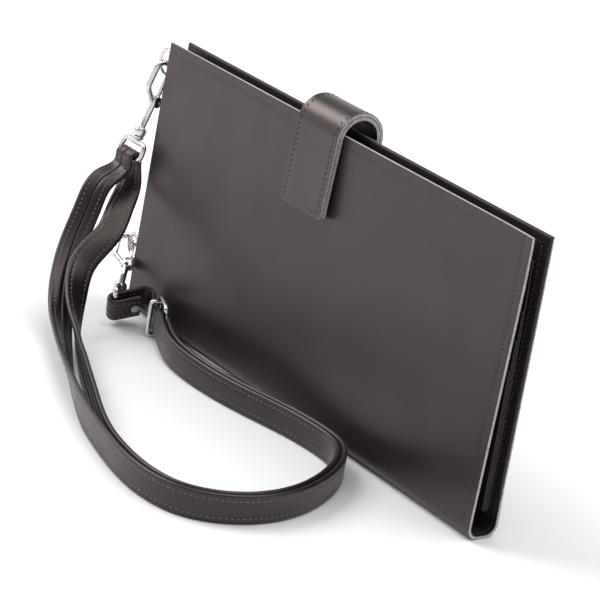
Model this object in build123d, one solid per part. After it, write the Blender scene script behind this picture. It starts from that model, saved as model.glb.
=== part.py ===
from build123d import *
import os
from math import asin, atan2, cos, degrees, radians, sin

# ---------------------------------------------------------------- driving dimensions, mm
# Frame: origin at the middle of the spine's flat underside, +X to the right along the wallet,
# +Y from the front panel to the back panel, +Z up. The wallet stands on its spine.

WALLET_LENGTH = 240.0
WALLET_HEIGHT = 122.5
SPINE_THICKNESS = 15.0        # over both covers at the spine
MOUTH_THICKNESS = 11.0        # over both covers at the top
SPINE_FLAT = 4.0              # width of the strip that the wallet stands on
SPINE_HEIGHT = 7.5            # where the panels take over from the spine

COVER_LEATHER = 1.4
BOARD = 0.8
LINING = 0.5
POCKET_LEATHER = 0.6
LAYER_GAP = 0.25              # air between a pocket leaf and what it lies on
EDGE_MARGIN = 5.0             # bare leather round the boards
LINING_MARGIN = 1.5           # the cover shows round the lining
SLIP_POCKET_TOP = 106.0
NOTE_POCKET_TOP = 112.0
CARD_POCKET_TOPS = (92.0, 80.0, 68.0)
POCKET_FOOT = 9.5
POCKET_MARGIN = 4.0

TAB_WIDTH = 27.0
TAB_PLY = 1.6
TAB_CENTRE_X = -8.3
TAB_REACH = 35.5              # how far the tab hangs down the front
TAB_ARCH_RADIUS = 10.2        # to the middle of its two plies
TAB_FRONT_GAP = 1.9           # between the tab's end and the front panel
TAB_TOP_GAP = 0.5             # between the tab and the front panel's top edge
TAB_ARCH_DROP = 2.5           # the arch's centre lies this far below the top edge
TAB_SEAM_TOP = 100.0          # the tab is sewn down on the back below this
TAB_SEAM_FOOT = 72.0
TAB_HINGE_RELIEF = 3.4        # bare bend between the sewn leg and the moving flap

SNAP_RADIUS = 4.5
SNAP_DISC = 0.55
SNAP_PLACE = 26.0             # below the top edge

RING_WIRE = 0.9               # radius of a D-ring's wire
RING_BEND = 5.5               # radius of its round end, to the middle of the wire
RING_REACH = 12.5             # straight bar to outermost point
RING_BAR_X = 2.5              # the bar stands this far inside the wallet's edge
RING_DEPTH = 3.16             # the ring's plane, behind the cover's outer face
UPPER_RING_Z = 112.0
LOWER_RING_Z = 27.0
RING_TAB_LEATHER = 0.65
RING_TAB_LENGTH = 14.0
RING_FIT = 0.1

HOOK_WIRE = 1.4               # radius of the hook's round bar
SHANK_RADIUS = 1.5
BARREL_RADIUS = 3.0
BARREL_FOOT, BARREL_TOP = 8.3, 13.6
HOOK_NECK = 25.5
HOOK_LENGTH = 42.0            # eye bar to the inside of the hook's top
HOOK_BACK = 6.5               # how far the hook's back stands off the shank's line
GATE_LINE = 0.8               # the gate stands this far on the other side
GATE_RADIUS = 1.0
NOSE_DROP = 4.8               # the hook's nose comes down this far to meet the gate
GATE_PIN_RADIUS = 0.5
BOSS_RADIUS = 2.6             # the cheeks that hold the gate's pin
BOSS_WIDTH = 4.4
PIN_FIT = 0.05
EYE_WIRE = 1.2
EYE_HALF_WIDTH = 8.4
EYE_SHOULDER = 7.4
EYE_HEIGHT = 7.0
POST_RADIUS = 1.3

STRAP_WIDTH = 12.0
STRAP_THICKNESS = 2.2
PLY_OFFSET = 1.4              # middle of each ply from the middle of the doubled strap
STRAP_WRAP = 1.4              # inner radius of a fold round an eye's bar
STRAP_SECTIONS_APART = 7.0
END_LEG = 10.3                # straight part of the strap beyond the lower eye's bar
END_TUCK = 10.6               # its folded end
END_SIDE = 1                  # which side of the bar the strap comes in on
RIVET_RADIUS, RIVET_HEAD, RIVET_DISC, RIVET_PLACE = 1.0, 2.0, 0.5, 8.2
SLIDER_WIRE = 1.1
SLIDER_HALF_LENGTH = 7.6      # along the strap's width
SLIDER_HALF_SPAN = 7.0        # along the strap

os.makedirs("parts", exist_ok=True)

HALF_LENGTH = WALLET_LENGTH / 2
TAPER = (SPINE_THICKNESS - MOUTH_THICKNESS) / 2 / (WALLET_HEIGHT - SPINE_HEIGHT)
UP = Vector(0, 0, 1)


def save(shape, name):
    export_step(shape, f"parts/{name}.step")


def face_y(z, depth):
    """Distance from the wallet's middle plane of a layer's face, depth inside the outer face."""
    return SPINE_THICKNESS / 2 - TAPER * (z - SPINE_HEIGHT) - depth


def layer(side, depth, thickness, low, high, margin):
    """A leaf parallel to one panel. side is -1 for the front half and 1 for the back half."""
    corners = [
        (side * face_y(low, depth), low),
        (side * face_y(high, depth), high),
        (side * face_y(high, depth + thickness), high),
        (side * face_y(low, depth + thickness), low),
    ]
    outline = make_face(Polyline(*corners, close=True))
    half = HALF_LENGTH - margin
    return extrude(Plane.YZ.offset(-half) * outline, 2 * half)


# ---------------------------------------------------------------- wallet, leaves and spine

LINING_DEPTH = COVER_LEATHER + BOARD
POCKET_DEPTH = LINING_DEPTH + LINING + LAYER_GAP
RING_ROOM = 0.35              # air round a ring tab in the leaves that make room for it


def spine_outline(inset):
    """The spine's rounded outline, inset from its outer face, as a face open at the top."""
    radius = (SPINE_THICKNESS - SPINE_FLAT) / 2 - inset
    width = SPINE_THICKNESS - 2 * inset
    tall = 4 * SPINE_HEIGHT - 2 * inset
    return Pos(0, tall / 2 + inset) * RectangleRounded(width, tall, radius)


def spine_layer(outer, thickness, margin):
    band = spine_outline(outer) - spine_outline(outer + thickness)
    keep = Pos(0, SPINE_HEIGHT / 2) * Rectangle(2 * SPINE_THICKNESS, SPINE_HEIGHT)
    half = HALF_LENGTH - margin
    return extrude(Plane.YZ.offset(-half) * (band & keep), 2 * half)


def ring_y(z):
    return -face_y(z, RING_DEPTH)


def ring_pocket(z):
    """The room that a ring and its leather tab need between the leaves."""
    long = RING_TAB_LENGTH + RING_BAR_X + 2 * RING_ROOM
    tall = 2 * (RING_BEND + RING_WIRE + RING_ROOM)
    deep = 2 * (RING_WIRE + RING_FIT + RING_TAB_LEATHER + RING_ROOM)
    return Pos(-HALF_LENGTH + long / 2 - RING_ROOM, ring_y(z), z) * Box(long, deep, tall)


def make_halves():
    top = WALLET_HEIGHT
    foot = SPINE_HEIGHT
    rings = ring_pocket(UPPER_RING_Z) + ring_pocket(LOWER_RING_Z)
    save(layer(-1, 0, COVER_LEATHER, foot, top, 0), "front_panel")
    save(layer(1, 0, COVER_LEATHER, foot, top, 0), "back_panel")
    save(spine_layer(0, COVER_LEATHER, 0), "spine")
    save(spine_layer(COVER_LEATHER + 0.02, LINING, LINING_MARGIN), "spine_lining")
    board_ends = foot + 1.0, top - EDGE_MARGIN
    lining_ends = foot, top - LINING_MARGIN
    for side, word in ((-1, "front"), (1, "back")):
        board = layer(side, COVER_LEATHER, BOARD, *board_ends, EDGE_MARGIN)
        lining = layer(side, LINING_DEPTH, LINING, *lining_ends, LINING_MARGIN)
        if side < 0:
            board, lining = board - rings, lining - rings
        save(board, f"{word}_board")
        save(lining, f"{word}_lining")
    slip = layer(-1, POCKET_DEPTH, POCKET_LEATHER, POCKET_FOOT, SLIP_POCKET_TOP, POCKET_MARGIN)
    save(slip - rings, "slip_pocket")
    note = layer(1, POCKET_DEPTH, POCKET_LEATHER, POCKET_FOOT, NOTE_POCKET_TOP, POCKET_MARGIN)
    save(note, "note_pocket")
    for number, height in enumerate(CARD_POCKET_TOPS, 1):
        depth = POCKET_DEPTH + number * (POCKET_LEATHER + LAYER_GAP)
        leaf = layer(1, depth, POCKET_LEATHER, POCKET_FOOT, height, POCKET_MARGIN)
        save(leaf, f"card_pocket_{number}")


# ---------------------------------------------------------------- closure tab and snap

TAB_THICKNESS = 2 * TAB_PLY
TAB_MIDDLE = TAB_THICKNESS / 2
TAB_HINGE_Y = -face_y(WALLET_HEIGHT, 0) - TAB_TOP_GAP - TAB_MIDDLE + 2 * TAB_ARCH_RADIUS
TAB_HINGE_Z = WALLET_HEIGHT - TAB_ARCH_DROP
TAB_ARCH_Y = TAB_HINGE_Y - TAB_ARCH_RADIUS
TAB_FOOT_Z = WALLET_HEIGHT - TAB_REACH
TAB_FOOT_Y = -face_y(TAB_FOOT_Z, 0) - TAB_FRONT_GAP - TAB_MIDDLE


def tab_strip(path, offset):
    """One ply of the tab: its path in the side view, offset to one side of the tab's middle."""
    ply = offset_2d_strip(path, offset - TAB_PLY / 2, offset + TAB_PLY / 2)
    left = TAB_CENTRE_X - TAB_WIDTH / 2
    return extrude(Plane.YZ.offset(left) * ply, TAB_WIDTH)


def offset_2d_strip(path, low, high):
    """The strip between two parallels of a row of straight runs and arcs."""
    def parallel(distance):
        return [step(distance) for step in path]
    first, second = parallel(low), parallel(high)
    ends = [Line(first[0] @ 0, second[0] @ 0), Line(first[-1] @ 1, second[-1] @ 1)]
    return make_face(first + second + ends)


def straight(start, end):
    """A straight run of the side view, as a function of its distance to the left."""
    way = (Vector(*end) - Vector(*start)).normalized()
    aside = Vector(-way.Y, way.X)
    return lambda d: Line(Vector(*start) + aside * d, Vector(*end) + aside * d)


def turn(centre, radius, start, sweep):
    """An arc of the side view, as a function of its distance to the left of its run."""
    grow = -1 if sweep > 0 else 1
    return lambda d: CenterArc(centre, radius + grow * d, start, sweep)


X_STEP = Vector(TAB_CENTRE_X, 0, 0)


def tab_lean():
    """The slope of the tab's front leg, which runs from its foot tangent to the arch, deg."""
    across, rise = TAB_ARCH_Y - TAB_FOOT_Y, TAB_HINGE_Z - TAB_FOOT_Z
    return degrees(atan2(rise, across) + asin(TAB_ARCH_RADIUS / (across**2 + rise**2) ** 0.5))


def tab_way():
    return Vector(0, cos(radians(tab_lean())), sin(radians(tab_lean())))


def make_tab():
    foot, centre = Vector(TAB_FOOT_Y, TAB_FOOT_Z), Vector(TAB_ARCH_Y, TAB_HINGE_Z)
    lean = tab_lean()
    leaves = centre + Vector(-sin(radians(lean)), cos(radians(lean))) * TAB_ARCH_RADIUS
    leg = straight((foot.X, foot.Y), (leaves.X, leaves.Y))
    arch = turn((centre.X, centre.Y), TAB_ARCH_RADIUS, lean + 90, -lean - 90)
    # the lining ply lies inside the bend, the outer ply over it
    lean_gap = 0.02
    flap_inner = tab_strip([leg, arch], -TAB_PLY / 2 - lean_gap / 2)
    flap_outer = tab_strip([leg, arch], TAB_PLY / 2 + lean_gap / 2)
    save(flap_outer, "tab_flap")
    save(flap_inner, "tab_flap_lining")
    base_top = (TAB_HINGE_Y, TAB_HINGE_Z - TAB_HINGE_RELIEF)
    knee = (TAB_HINGE_Y, TAB_HINGE_Z - TAB_HINGE_RELIEF - 1.0)
    seam_y = face_y(TAB_SEAM_TOP, 0) + TAB_MIDDLE + 0.05
    foot_y = face_y(TAB_SEAM_FOOT, 0) + TAB_MIDDLE + 0.05
    seam = straight((seam_y, TAB_SEAM_TOP), (foot_y, TAB_SEAM_FOOT))
    drop = straight(knee, (seam_y, TAB_SEAM_TOP))
    start = straight(base_top, knee)
    outline = make_face(joined_strip([start, drop, seam]))
    left = TAB_CENTRE_X - TAB_WIDTH / 2
    save(extrude(Plane.YZ.offset(left) * outline, TAB_WIDTH), "tab_base")


def joined_strip(runs):
    """A closed outline of straight runs, mitred where they meet."""
    def side(distance):
        lines = [run(distance) for run in runs]
        points = [lines[0] @ 0]
        for one, two in zip(lines, lines[1:]):
            points.append(crossing(one, two))
        return points + [lines[-1] @ 1]
    near, far = side(-TAB_MIDDLE), side(TAB_MIDDLE)
    return Polyline(*near, *reversed(far), close=True)


def crossing(one, two):
    """Where two straight lines of a plane meet."""
    a, u = one @ 0, one % 0
    b, v = two @ 0, two % 0
    along = ((b.X - a.X) * v.Y - (b.Y - a.Y) * v.X) / (u.X * v.Y - u.Y * v.X)
    return a + u * along


def make_snap():
    z = WALLET_HEIGHT - SNAP_PLACE
    foot, way = Vector(0, TAB_FOOT_Y, TAB_FOOT_Z), tab_way()
    inward = Vector(0, way.Z, -way.Y)
    up_tab = way * (z - TAB_FOOT_Z) + inward * (TAB_MIDDLE + SNAP_DISC / 2 + 0.05)
    stud = Plane(origin=foot + up_tab + X_STEP, x_dir=(1, 0, 0), z_dir=inward)
    outward = Vector(0, -1, TAPER).normalized()
    at_panel = Vector(0, -face_y(z, 0), z) + outward * (SNAP_DISC / 2 + 0.02) + X_STEP
    socket = Plane(origin=at_panel, x_dir=(1, 0, 0), z_dir=outward)
    disc = Cylinder(SNAP_RADIUS, SNAP_DISC)
    save(stud * disc, "snap_stud")
    save(socket * disc, "snap_socket")


# ---------------------------------------------------------------- D-rings and their tabs

RING_BAR = -HALF_LENGTH + RING_BAR_X


def wire_along(path, radius):
    return sweep(Plane(path @ 0, z_dir=path % 0) * Circle(radius), path)


def make_ring(z, word):
    """A D-ring in a plane along the wallet, its straight bar upright inside the leather tab."""
    bend, leg = RING_BEND, RING_REACH - RING_BEND
    path = Wire([
        Line((0, 0, -bend), (0, 0, bend)),
        Line((0, 0, bend), (-leg, 0, bend)),
        ThreePointArc((-leg, 0, bend), (-leg - bend, 0, 0), (-leg, 0, -bend)),
        Line((-leg, 0, -bend), (0, 0, -bend)),
    ])
    place = Pos(RING_BAR, ring_y(z), z)
    ring = sweep(Plane((0, 0, 0), z_dir=UP) * Circle(RING_WIRE), path, transition=Transition.ROUND)
    save(place * ring, f"d_ring_{word}")
    bore = RING_WIRE + RING_FIT
    loop = Cylinder(bore + RING_TAB_LEATHER, 2 * (bend - RING_WIRE - RING_FIT))
    tall = 2 * (bend - RING_WIRE - RING_FIT)
    tongue = Pos(RING_TAB_LENGTH / 2, 0, 0) * Box(RING_TAB_LENGTH, 2 * RING_TAB_LEATHER, tall)
    save(place * (loop + tongue - Cylinder(bore, tall)), f"ring_tab_{word}")


# ---------------------------------------------------------------- swivel hooks
# Each hook is drawn round its eye's bar: X along the bar, Z towards the hook, Y across it.

HOOK_TOP = HOOK_LENGTH + HOOK_WIRE          # middle of the wire over the ring


def make_hook(place, word):
    boss_z = HOOK_NECK + 0.8
    path = FilletPolyline(
        (0, -1.6, HOOK_NECK + 0.6),
        (0, -HOOK_BACK, HOOK_NECK + 5.5),
        (0, -HOOK_BACK, HOOK_TOP),
        (0, GATE_LINE, HOOK_TOP),
        (0, GATE_LINE, HOOK_TOP - NOSE_DROP),
        radius=3.4,
    )
    crosswise = Rot(0, 90, 0)
    body = Pos(0, 0, (BARREL_FOOT + BARREL_TOP) / 2) * Cylinder(BARREL_RADIUS, BARREL_TOP - BARREL_FOOT)
    shank_foot = BARREL_TOP - 1
    body += Pos(0, 0, (shank_foot + HOOK_NECK) / 2) * Cylinder(SHANK_RADIUS, HOOK_NECK - shank_foot)
    body += Pos(0, 0, boss_z) * crosswise * Cylinder(BOSS_RADIUS, BOSS_WIDTH)
    body += wire_along(path, HOOK_WIRE)
    slot_width = 2 * GATE_RADIUS + 0.2
    body -= Pos(0, -1.3 + 3, HOOK_NECK - 0.6 + 3) * Box(slot_width, 6, 6)
    pin = Pos(0, GATE_LINE, boss_z) * crosswise
    body -= pin * Cylinder(GATE_PIN_RADIUS, BOSS_WIDTH + 1)
    bore_top = BARREL_TOP - 2.2
    bore = Cylinder(POST_RADIUS + PIN_FIT, bore_top - BARREL_FOOT + 1)
    body -= Pos(0, 0, (bore_top + BARREL_FOOT - 1) / 2) * bore
    save(place * body, f"hook_body_{word}")
    save(place * (pin * Cylinder(GATE_PIN_RADIUS, BOSS_WIDTH)), f"gate_pin_{word}")

    tip = HOOK_TOP - NOSE_DROP - 0.3
    gate = Pos(0, GATE_LINE, (boss_z + tip) / 2) * Cylinder(GATE_RADIUS, tip - boss_z)
    gate += pin * Cylinder(1.3, 2 * GATE_RADIUS)
    gate += Pos(0, GATE_LINE + 1.3, boss_z + 4.5) * Sphere(1.0)
    gate -= pin * Cylinder(GATE_PIN_RADIUS + PIN_FIT, 4)
    save(place * gate, f"gate_{word}")

    eye = FilletPolyline(
        (-EYE_HALF_WIDTH, 0, 0),
        (EYE_HALF_WIDTH, 0, 0),
        (EYE_SHOULDER, 0, EYE_HEIGHT),
        (-EYE_SHOULDER, 0, EYE_HEIGHT),
        radius=2.4,
        close=True,
    )
    post_top = bore_top - 0.2
    post = Pos(0, 0, (EYE_HEIGHT + post_top) / 2) * Cylinder(POST_RADIUS, post_top - EYE_HEIGHT)
    save(place * (wire_along(eye, EYE_WIRE) + post), f"swivel_eye_{word}")


def hook_place(wire, towards, across, wire_at):
    """The plane of a hook that leans towards a direction and holds a ring's wire, the wire at
    wire_at in the hook's own Y and Z. across is roughly the direction of the eye's bar."""
    along = Vector(*towards).normalized()
    bar = Vector(*across)
    bar = (bar - along * bar.dot(along)).normalized()
    side = along.cross(bar)
    return Plane(origin=wire - side * wire_at[0] - along * wire_at[1], x_dir=bar, z_dir=along)


def ring_wire_point(z, reach):
    """The middle of a ring's wire on its lower side, that far out from its straight bar."""
    over = reach - (RING_REACH - RING_BEND)
    drop = (RING_BEND**2 - over**2) ** 0.5
    return Vector(RING_BAR - reach, ring_y(z), z - drop)


UPPER_HOOK_TILT = radians(20)               # the strap pulls the upper hook forward
LOWER_PULL = (-29.0, 25.5, 19.5)
UPPER_PLACE = hook_place(
    ring_wire_point(UPPER_RING_Z, RING_REACH - 3),
    (0, sin(UPPER_HOOK_TILT), cos(UPPER_HOOK_TILT)),
    (1, 0, 0),
    (-2.85, HOOK_LENGTH - 2.4),
)
LOWER_PLACE = hook_place(
    Vector(RING_BAR - RING_REACH, ring_y(LOWER_RING_Z), LOWER_RING_Z),
    LOWER_PULL,
    (0, 0, 1),
    (-1.6, HOOK_LENGTH - 1.8),
)


# ---------------------------------------------------------------- strap
# A route's points are x, y, z, then two angles: where the strap's width points seen from
# above, and how far it has turned down towards standing on its edge.

EDGE_UP = STRAP_WIDTH / 2 + 0.05
SLIDER_Z = SLIDER_HALF_LENGTH + SLIDER_WIRE + 0.05
ON_EDGE = Vector(0, 0, -1)

LOOP_ROUTE = [                # middle of the doubled strap, standing on its edge
    (17.0, -104.5, EDGE_UP), (34.0, -107.8, EDGE_UP), (51.0, -108.3, EDGE_UP),
    (67.0, -103.4, EDGE_UP), (77.8, -91.0, EDGE_UP), (82.0, -76.0, EDGE_UP),
    (80.6, -60.0, EDGE_UP), (73.8, -43.0, EDGE_UP), (63.0, -27.6, EDGE_UP),
    (50.0, -18.2, EDGE_UP), (34.0, -16.6, EDGE_UP), (17.0, -18.6, EDGE_UP),
    (1.0, -22.2, EDGE_UP), (-19.0, -26.0, EDGE_UP), (-40.0, -27.4, 6.3),
    (-60.0, -25.0, 7.1), (-74.0, -19.6, SLIDER_Z),
]
SLIDER_X, SLIDER_Y, SLIDER_TURN = -86.0, -15.6, -23.0

FRONT_FALL = [                # the ply that leaves the upper eye on its front side
    (-125.6, -25.6, 59.5, 30, 12), (-121.8, -34.2, 49.0, 46, 4), (-115.5, -43.5, 35.0, 50, 6),
    (-105.6, -52.6, 21.6, 50, 18), (-93.8, -59.6, 12.0, 50, 30), (-80.0, -66.4, 7.4, 50, 42),
    (-62.0, -75.6, 6.2, 50, 54), (-36.0, -88.0, 6.3, 50, 74), (-9.5, -98.6, 6.15, 50, 88),
]

BACK_FALL = [                 # the ply that leaves it behind and comes forward past the other
    (-124.6, -12.6, 58.0, 12, 2), (-115.6, -22.0, 48.9, 46, 0), (-108.6, -30.7, 41.0, 50, 2),
    (-104.5, -44.6, 29.3, 50, 26), (-97.4, -51.0, 20.6, 50, 42), (-87.0, -56.8, 12.9, 50, 60),
    (-73.0, -63.2, 7.6, 50, 80), (-51.5, -73.4, 6.2, 50, 90), (-20.5, -87.8, EDGE_UP, 50, 90),
]


def turned(route):
    """A route's places, each with the strap's width direction there."""
    pairs = []
    for x, y, z, heading, down in route:
        level = Vector(cos(radians(heading)), sin(radians(heading)), 0)
        width = level * cos(radians(down)) - UP * sin(radians(down))
        pairs.append((Vector(x, y, z), width))
    return pairs


def beside(points, distance):
    """A row of points moved level, to the left of the way they run, the strap on its edge."""
    moved = []
    for n, (x, y, z) in enumerate(points):
        before, after = points[max(n - 1, 0)], points[min(n + 1, len(points) - 1)]
        way = Vector(after[0] - before[0], after[1] - before[1]).normalized()
        moved.append((Vector(x - way.Y * distance, y + way.X * distance, z), ON_EDGE))
    return moved


def ply(route):
    """A strap ply on a smooth curve through a route of places and width directions."""
    places = [place for place, _ in route]
    curve = Spline(*places)
    marks = [0.0] + [curve.param_at_point(p) for p in places[1:-1]] + [1.0]
    sections = []
    count = round(curve.length / STRAP_SECTIONS_APART)
    for n in range(count + 1):
        here = n / count
        last = max(k for k, mark in enumerate(marks[:-1]) if mark <= here)
        share = (here - marks[last]) / (marks[last + 1] - marks[last])
        wanted = route[last][1] * (1 - share) + route[last + 1][1] * share
        tangent = curve % here
        if n == 0:
            tangent = (places[1] - places[0]).normalized()
        if n == count:
            tangent = (places[-1] - places[-2]).normalized()
        across = wanted - tangent * wanted.dot(tangent)
        plane = Plane(curve @ here, x_dir=across, z_dir=tangent)
        sections.append(plane * Rectangle(STRAP_WIDTH, STRAP_THICKNESS))
    return loft(sections, ruled=True)


def fold(place, opening):
    """Half a turn of strap round an eye's bar. opening is the way its two plies leave."""
    bar = place.x_dir
    way = (opening - bar * opening.dot(bar)).normalized()
    plane = Plane(origin=place.origin, x_dir=way, z_dir=bar)
    half = Circle(STRAP_WRAP + STRAP_THICKNESS) - Circle(STRAP_WRAP)
    big = 4 * STRAP_THICKNESS + 4 * STRAP_WRAP
    half -= Pos(big / 2, 0) * Rectangle(big, big)
    return plane, extrude(plane.offset(-STRAP_WIDTH / 2) * half, STRAP_WIDTH)


BUTT_GAP = 0.05               # where the strap is modelled in pieces they stop this short
GUIDE = 3.0                   # a ply leaves its fold straight for this far


def make_strap():
    plane, bight = fold(UPPER_PLACE, -UP)
    save(bight, "strap_bight")
    middle = STRAP_WRAP + STRAP_THICKNESS / 2
    ends = [plane.from_local_coords(Vector(BUTT_GAP, side * middle, 0)) for side in (1, -1)]
    front, back = sorted(ends, key=lambda end: end.Y)
    level = Vector(1, 0, 0)
    outer_run = beside(LOOP_ROUTE, -PLY_OFFSET)
    outer_start = [(front, level), (front - UP * GUIDE, level)]
    save(ply(outer_start + turned(FRONT_FALL) + outer_run), "strap_outer_ply")

    plane, end_loop = fold(LOWER_PLACE, Vector(0.15, 1, 0))
    for side, long in ((END_SIDE, END_LEG), (-END_SIDE, END_TUCK)):
        leg = Pos(long / 2, side * middle) * Rectangle(long, STRAP_THICKNESS)
        end_loop += extrude(plane.offset(-STRAP_WIDTH / 2) * leg, STRAP_WIDTH)
    joins = plane.from_local_coords(Vector(END_LEG + BUTT_GAP, END_SIDE * middle, 0))
    down = -plane.z_dir if plane.z_dir.Z > 0 else plane.z_dir
    tail = [
        (Vector(SLIDER_X, SLIDER_Y, SLIDER_Z), ON_EDGE),
        (Vector(SLIDER_X - 7.0, SLIDER_Y + 2.7, SLIDER_Z + 1.0), ON_EDGE),
        (joins + Vector(4.6, 5.2, -1.4), ON_EDGE),
        (joins + Vector(1.5, 4.1, 0.2), ON_EDGE * 0.5 + down * 0.5),
        (joins + plane.x_dir * 1.6, down),
        (joins, down),
    ]
    inner_start = [(back, level), (back - UP * GUIDE, level)]
    inner_run = beside(LOOP_ROUTE, PLY_OFFSET)
    save(ply(inner_start + turned(BACK_FALL) + inner_run + tail), "strap_inner_ply")

    thick = 2 * (middle + STRAP_THICKNESS / 2)
    rivet = Cylinder(RIVET_RADIUS, thick)
    for side in (1, -1):
        rivet += Pos(0, 0, side * (thick + RIVET_DISC) / 2) * Cylinder(RIVET_HEAD, RIVET_DISC)
    where = plane.from_local_coords(Vector(RIVET_PLACE, 0, 0))
    through = Plane(origin=where, x_dir=plane.x_dir, z_dir=plane.y_dir)
    save(through * rivet, "end_rivet")
    hole = Cylinder(RIVET_RADIUS + PIN_FIT, thick + 1)
    save(end_loop - through * hole, "strap_end_loop")


def make_slider():
    """An upright frame behind the passing ply and a bowed middle bar in front of it."""
    tall, span = SLIDER_HALF_LENGTH, SLIDER_HALF_SPAN
    behind = STRAP_THICKNESS / 2 + SLIDER_WIRE + 0.5
    place = Pos(SLIDER_X, SLIDER_Y, SLIDER_Z) * Rot(0, 0, SLIDER_TURN)
    frame = FilletPolyline(
        (-span, behind, -tall), (span, behind, -tall), (span, behind, tall), (-span, behind, tall),
        radius=2.6,
        close=True,
    )
    save(place * wire_along(frame, SLIDER_WIRE), "slider_frame")
    inside = behind - SLIDER_WIRE
    bow = FilletPolyline(
        (0, inside, tall), (0, -behind, tall), (0, -behind, -tall), (0, inside, -tall), radius=1.5,
    )
    save(place * wire_along(bow, SLIDER_WIRE), "slider_bar")


make_halves()
make_tab()
make_snap()
for ring_z, name in ((UPPER_RING_Z, "upper"), (LOWER_RING_Z, "lower")):
    make_ring(ring_z, name)
make_hook(UPPER_PLACE, "upper")
make_hook(LOWER_PLACE, "lower")
make_strap()
make_slider()
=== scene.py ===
import math

import bmesh
import bpy
import numpy as np
from bpy.props import FloatProperty, FloatVectorProperty, PointerProperty
from mathutils import Matrix, Vector, noise


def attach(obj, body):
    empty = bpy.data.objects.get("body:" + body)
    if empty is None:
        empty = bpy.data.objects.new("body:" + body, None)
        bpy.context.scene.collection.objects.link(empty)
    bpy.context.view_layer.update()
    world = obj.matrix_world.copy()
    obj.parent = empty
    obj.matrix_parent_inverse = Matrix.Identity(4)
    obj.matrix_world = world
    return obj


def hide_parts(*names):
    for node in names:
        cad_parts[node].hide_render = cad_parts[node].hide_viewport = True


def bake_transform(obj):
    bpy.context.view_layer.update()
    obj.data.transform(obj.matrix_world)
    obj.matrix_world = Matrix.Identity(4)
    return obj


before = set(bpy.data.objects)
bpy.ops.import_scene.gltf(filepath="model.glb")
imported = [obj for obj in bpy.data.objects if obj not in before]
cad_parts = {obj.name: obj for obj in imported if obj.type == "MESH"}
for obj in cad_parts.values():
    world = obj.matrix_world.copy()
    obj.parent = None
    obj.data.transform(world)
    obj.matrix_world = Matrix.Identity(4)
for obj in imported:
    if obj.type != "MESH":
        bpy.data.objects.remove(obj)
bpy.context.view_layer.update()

bl_info = {
    "name": "Wristlet wallet",
    "version": (1, 0, 0),
    "blender": (4, 5, 0),
    "location": "3D View > Sidebar > Wristlet",
    "description": "Sews a black leather wristlet wallet round its packed parts",
    "category": "Object",
}

MM = 0.001
UP = Vector((0, 0, 1))

# ------------------------------------------------------------------ sizes, mm
HALF_LENGTH = 120.0
TOP = 122.5
FOOT = 7.5                    # the panels take over from the spine here
SPINE_HALF = 7.5
SPINE_FLAT_HALF = 2.0
TAPER = 2.0 / 115.0
COVER = 1.4                   # thickness of the cover leather
SEAM_INSET = 3.7              # the cover's stitching, in from its cut edge

LINING_DEPTH, LINING = 2.2, 0.5
POCKET_DEPTH, POCKET = 2.95, 0.6
POCKET_STEP = 0.85

TAB_HALF, TAB_X, TAB_PLY = 13.5, -8.3, 1.6
TAB_INSET = 2.1               # the tab's stitching, in from its cut edge
ARCH_Y, ARCH_Z, ARCH_R = 2.6, 120.0, 10.2
TAB_FOOT = (-9.6174, 87.0)
TAB_LEAN = math.radians(86.534)
BASE_TOP_Z, TAB_SEAM_TOP, TAB_SEAM_FOOT = 116.6, 100.0, 72.0
TAB_SEAM_OFF = TAB_PLY + 0.05
NO_SEAM = 99                  # a face distance that no ply has
CHEEK_OFF = 1.65              # from the middle of a hook to each of its cheeks
GATE_OFF = 0.8                 # from a hook's axis to its gate's

RING_BAR_X, RING_BEND, RING_WIRE, RING_REACH = -117.5, 5.5, 0.9, 12.5
RING_PLACES = {"upper": (-2.5226, 112.0), "lower": (-4.0009, 27.0)}

STRAP_HALF, STRAP_THICK, PLY_OFFSET = 6.0, 2.2, 1.4
WRAP = 2.5                    # eye bar to the middle of the strap folded round it
EDGE_UP, SLIDER_Z = 6.05, 8.75
ON_EDGE = Vector((0, 0, -1))

LOOP_ROUTE = [                # middle of the doubled strap, standing on its edge
    (17, -104.5, EDGE_UP), (34, -107.8, EDGE_UP), (51, -108.3, EDGE_UP), (67, -103.4, EDGE_UP),
    (77.8, -91, EDGE_UP), (82, -76, EDGE_UP), (80.6, -60, EDGE_UP), (73.8, -43, EDGE_UP),
    (63, -27.6, EDGE_UP), (50, -18.2, EDGE_UP), (34, -16.6, EDGE_UP), (17, -18.6, EDGE_UP),
    (1, -22.2, EDGE_UP), (-19, -26, EDGE_UP), (-40, -27.4, 6.3), (-60, -25, 7.1),
    (-74, -19.6, SLIDER_Z),
]
FRONT_FALL = [                # place, then the way its width points and how far it has turned down
    (-125.6, -25.6, 59.5, 30, 12), (-121.8, -34.2, 49, 46, 4), (-115.5, -43.5, 35, 50, 6),
    (-105.6, -52.6, 21.6, 50, 18), (-93.8, -59.6, 12, 50, 30), (-80, -66.4, 7.4, 50, 42),
    (-62, -75.6, 6.2, 50, 54), (-36, -88, 6.3, 50, 74), (-9.5, -98.6, 6.15, 50, 88),
]
BACK_FALL = [
    (-124.6, -12.6, 58, 12, 2), (-115.6, -22, 48.9, 46, 0), (-108.6, -30.7, 41, 50, 2),
    (-104.5, -44.6, 29.3, 50, 26), (-97.4, -51, 20.6, 50, 42), (-87, -56.8, 12.9, 50, 60),
    (-73, -63.2, 7.6, 50, 80), (-51.5, -73.4, 6.2, 50, 90), (-20.5, -87.8, EDGE_UP, 50, 90),
]
UPPER_BIGHT = Vector((-127, -13.3885, 68.9144))
BIGHT_LOW = 68.86
LOWER_EYE = Vector((-101.9953, -26.4951, 8.8797))
LOWER_BAR = Vector((0.338503, -0.297649, 0.892648))
END_LEG, END_TUCK = 10.35, 10.6
SLIDER = Vector((-86, -15.6, SLIDER_Z))


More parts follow.
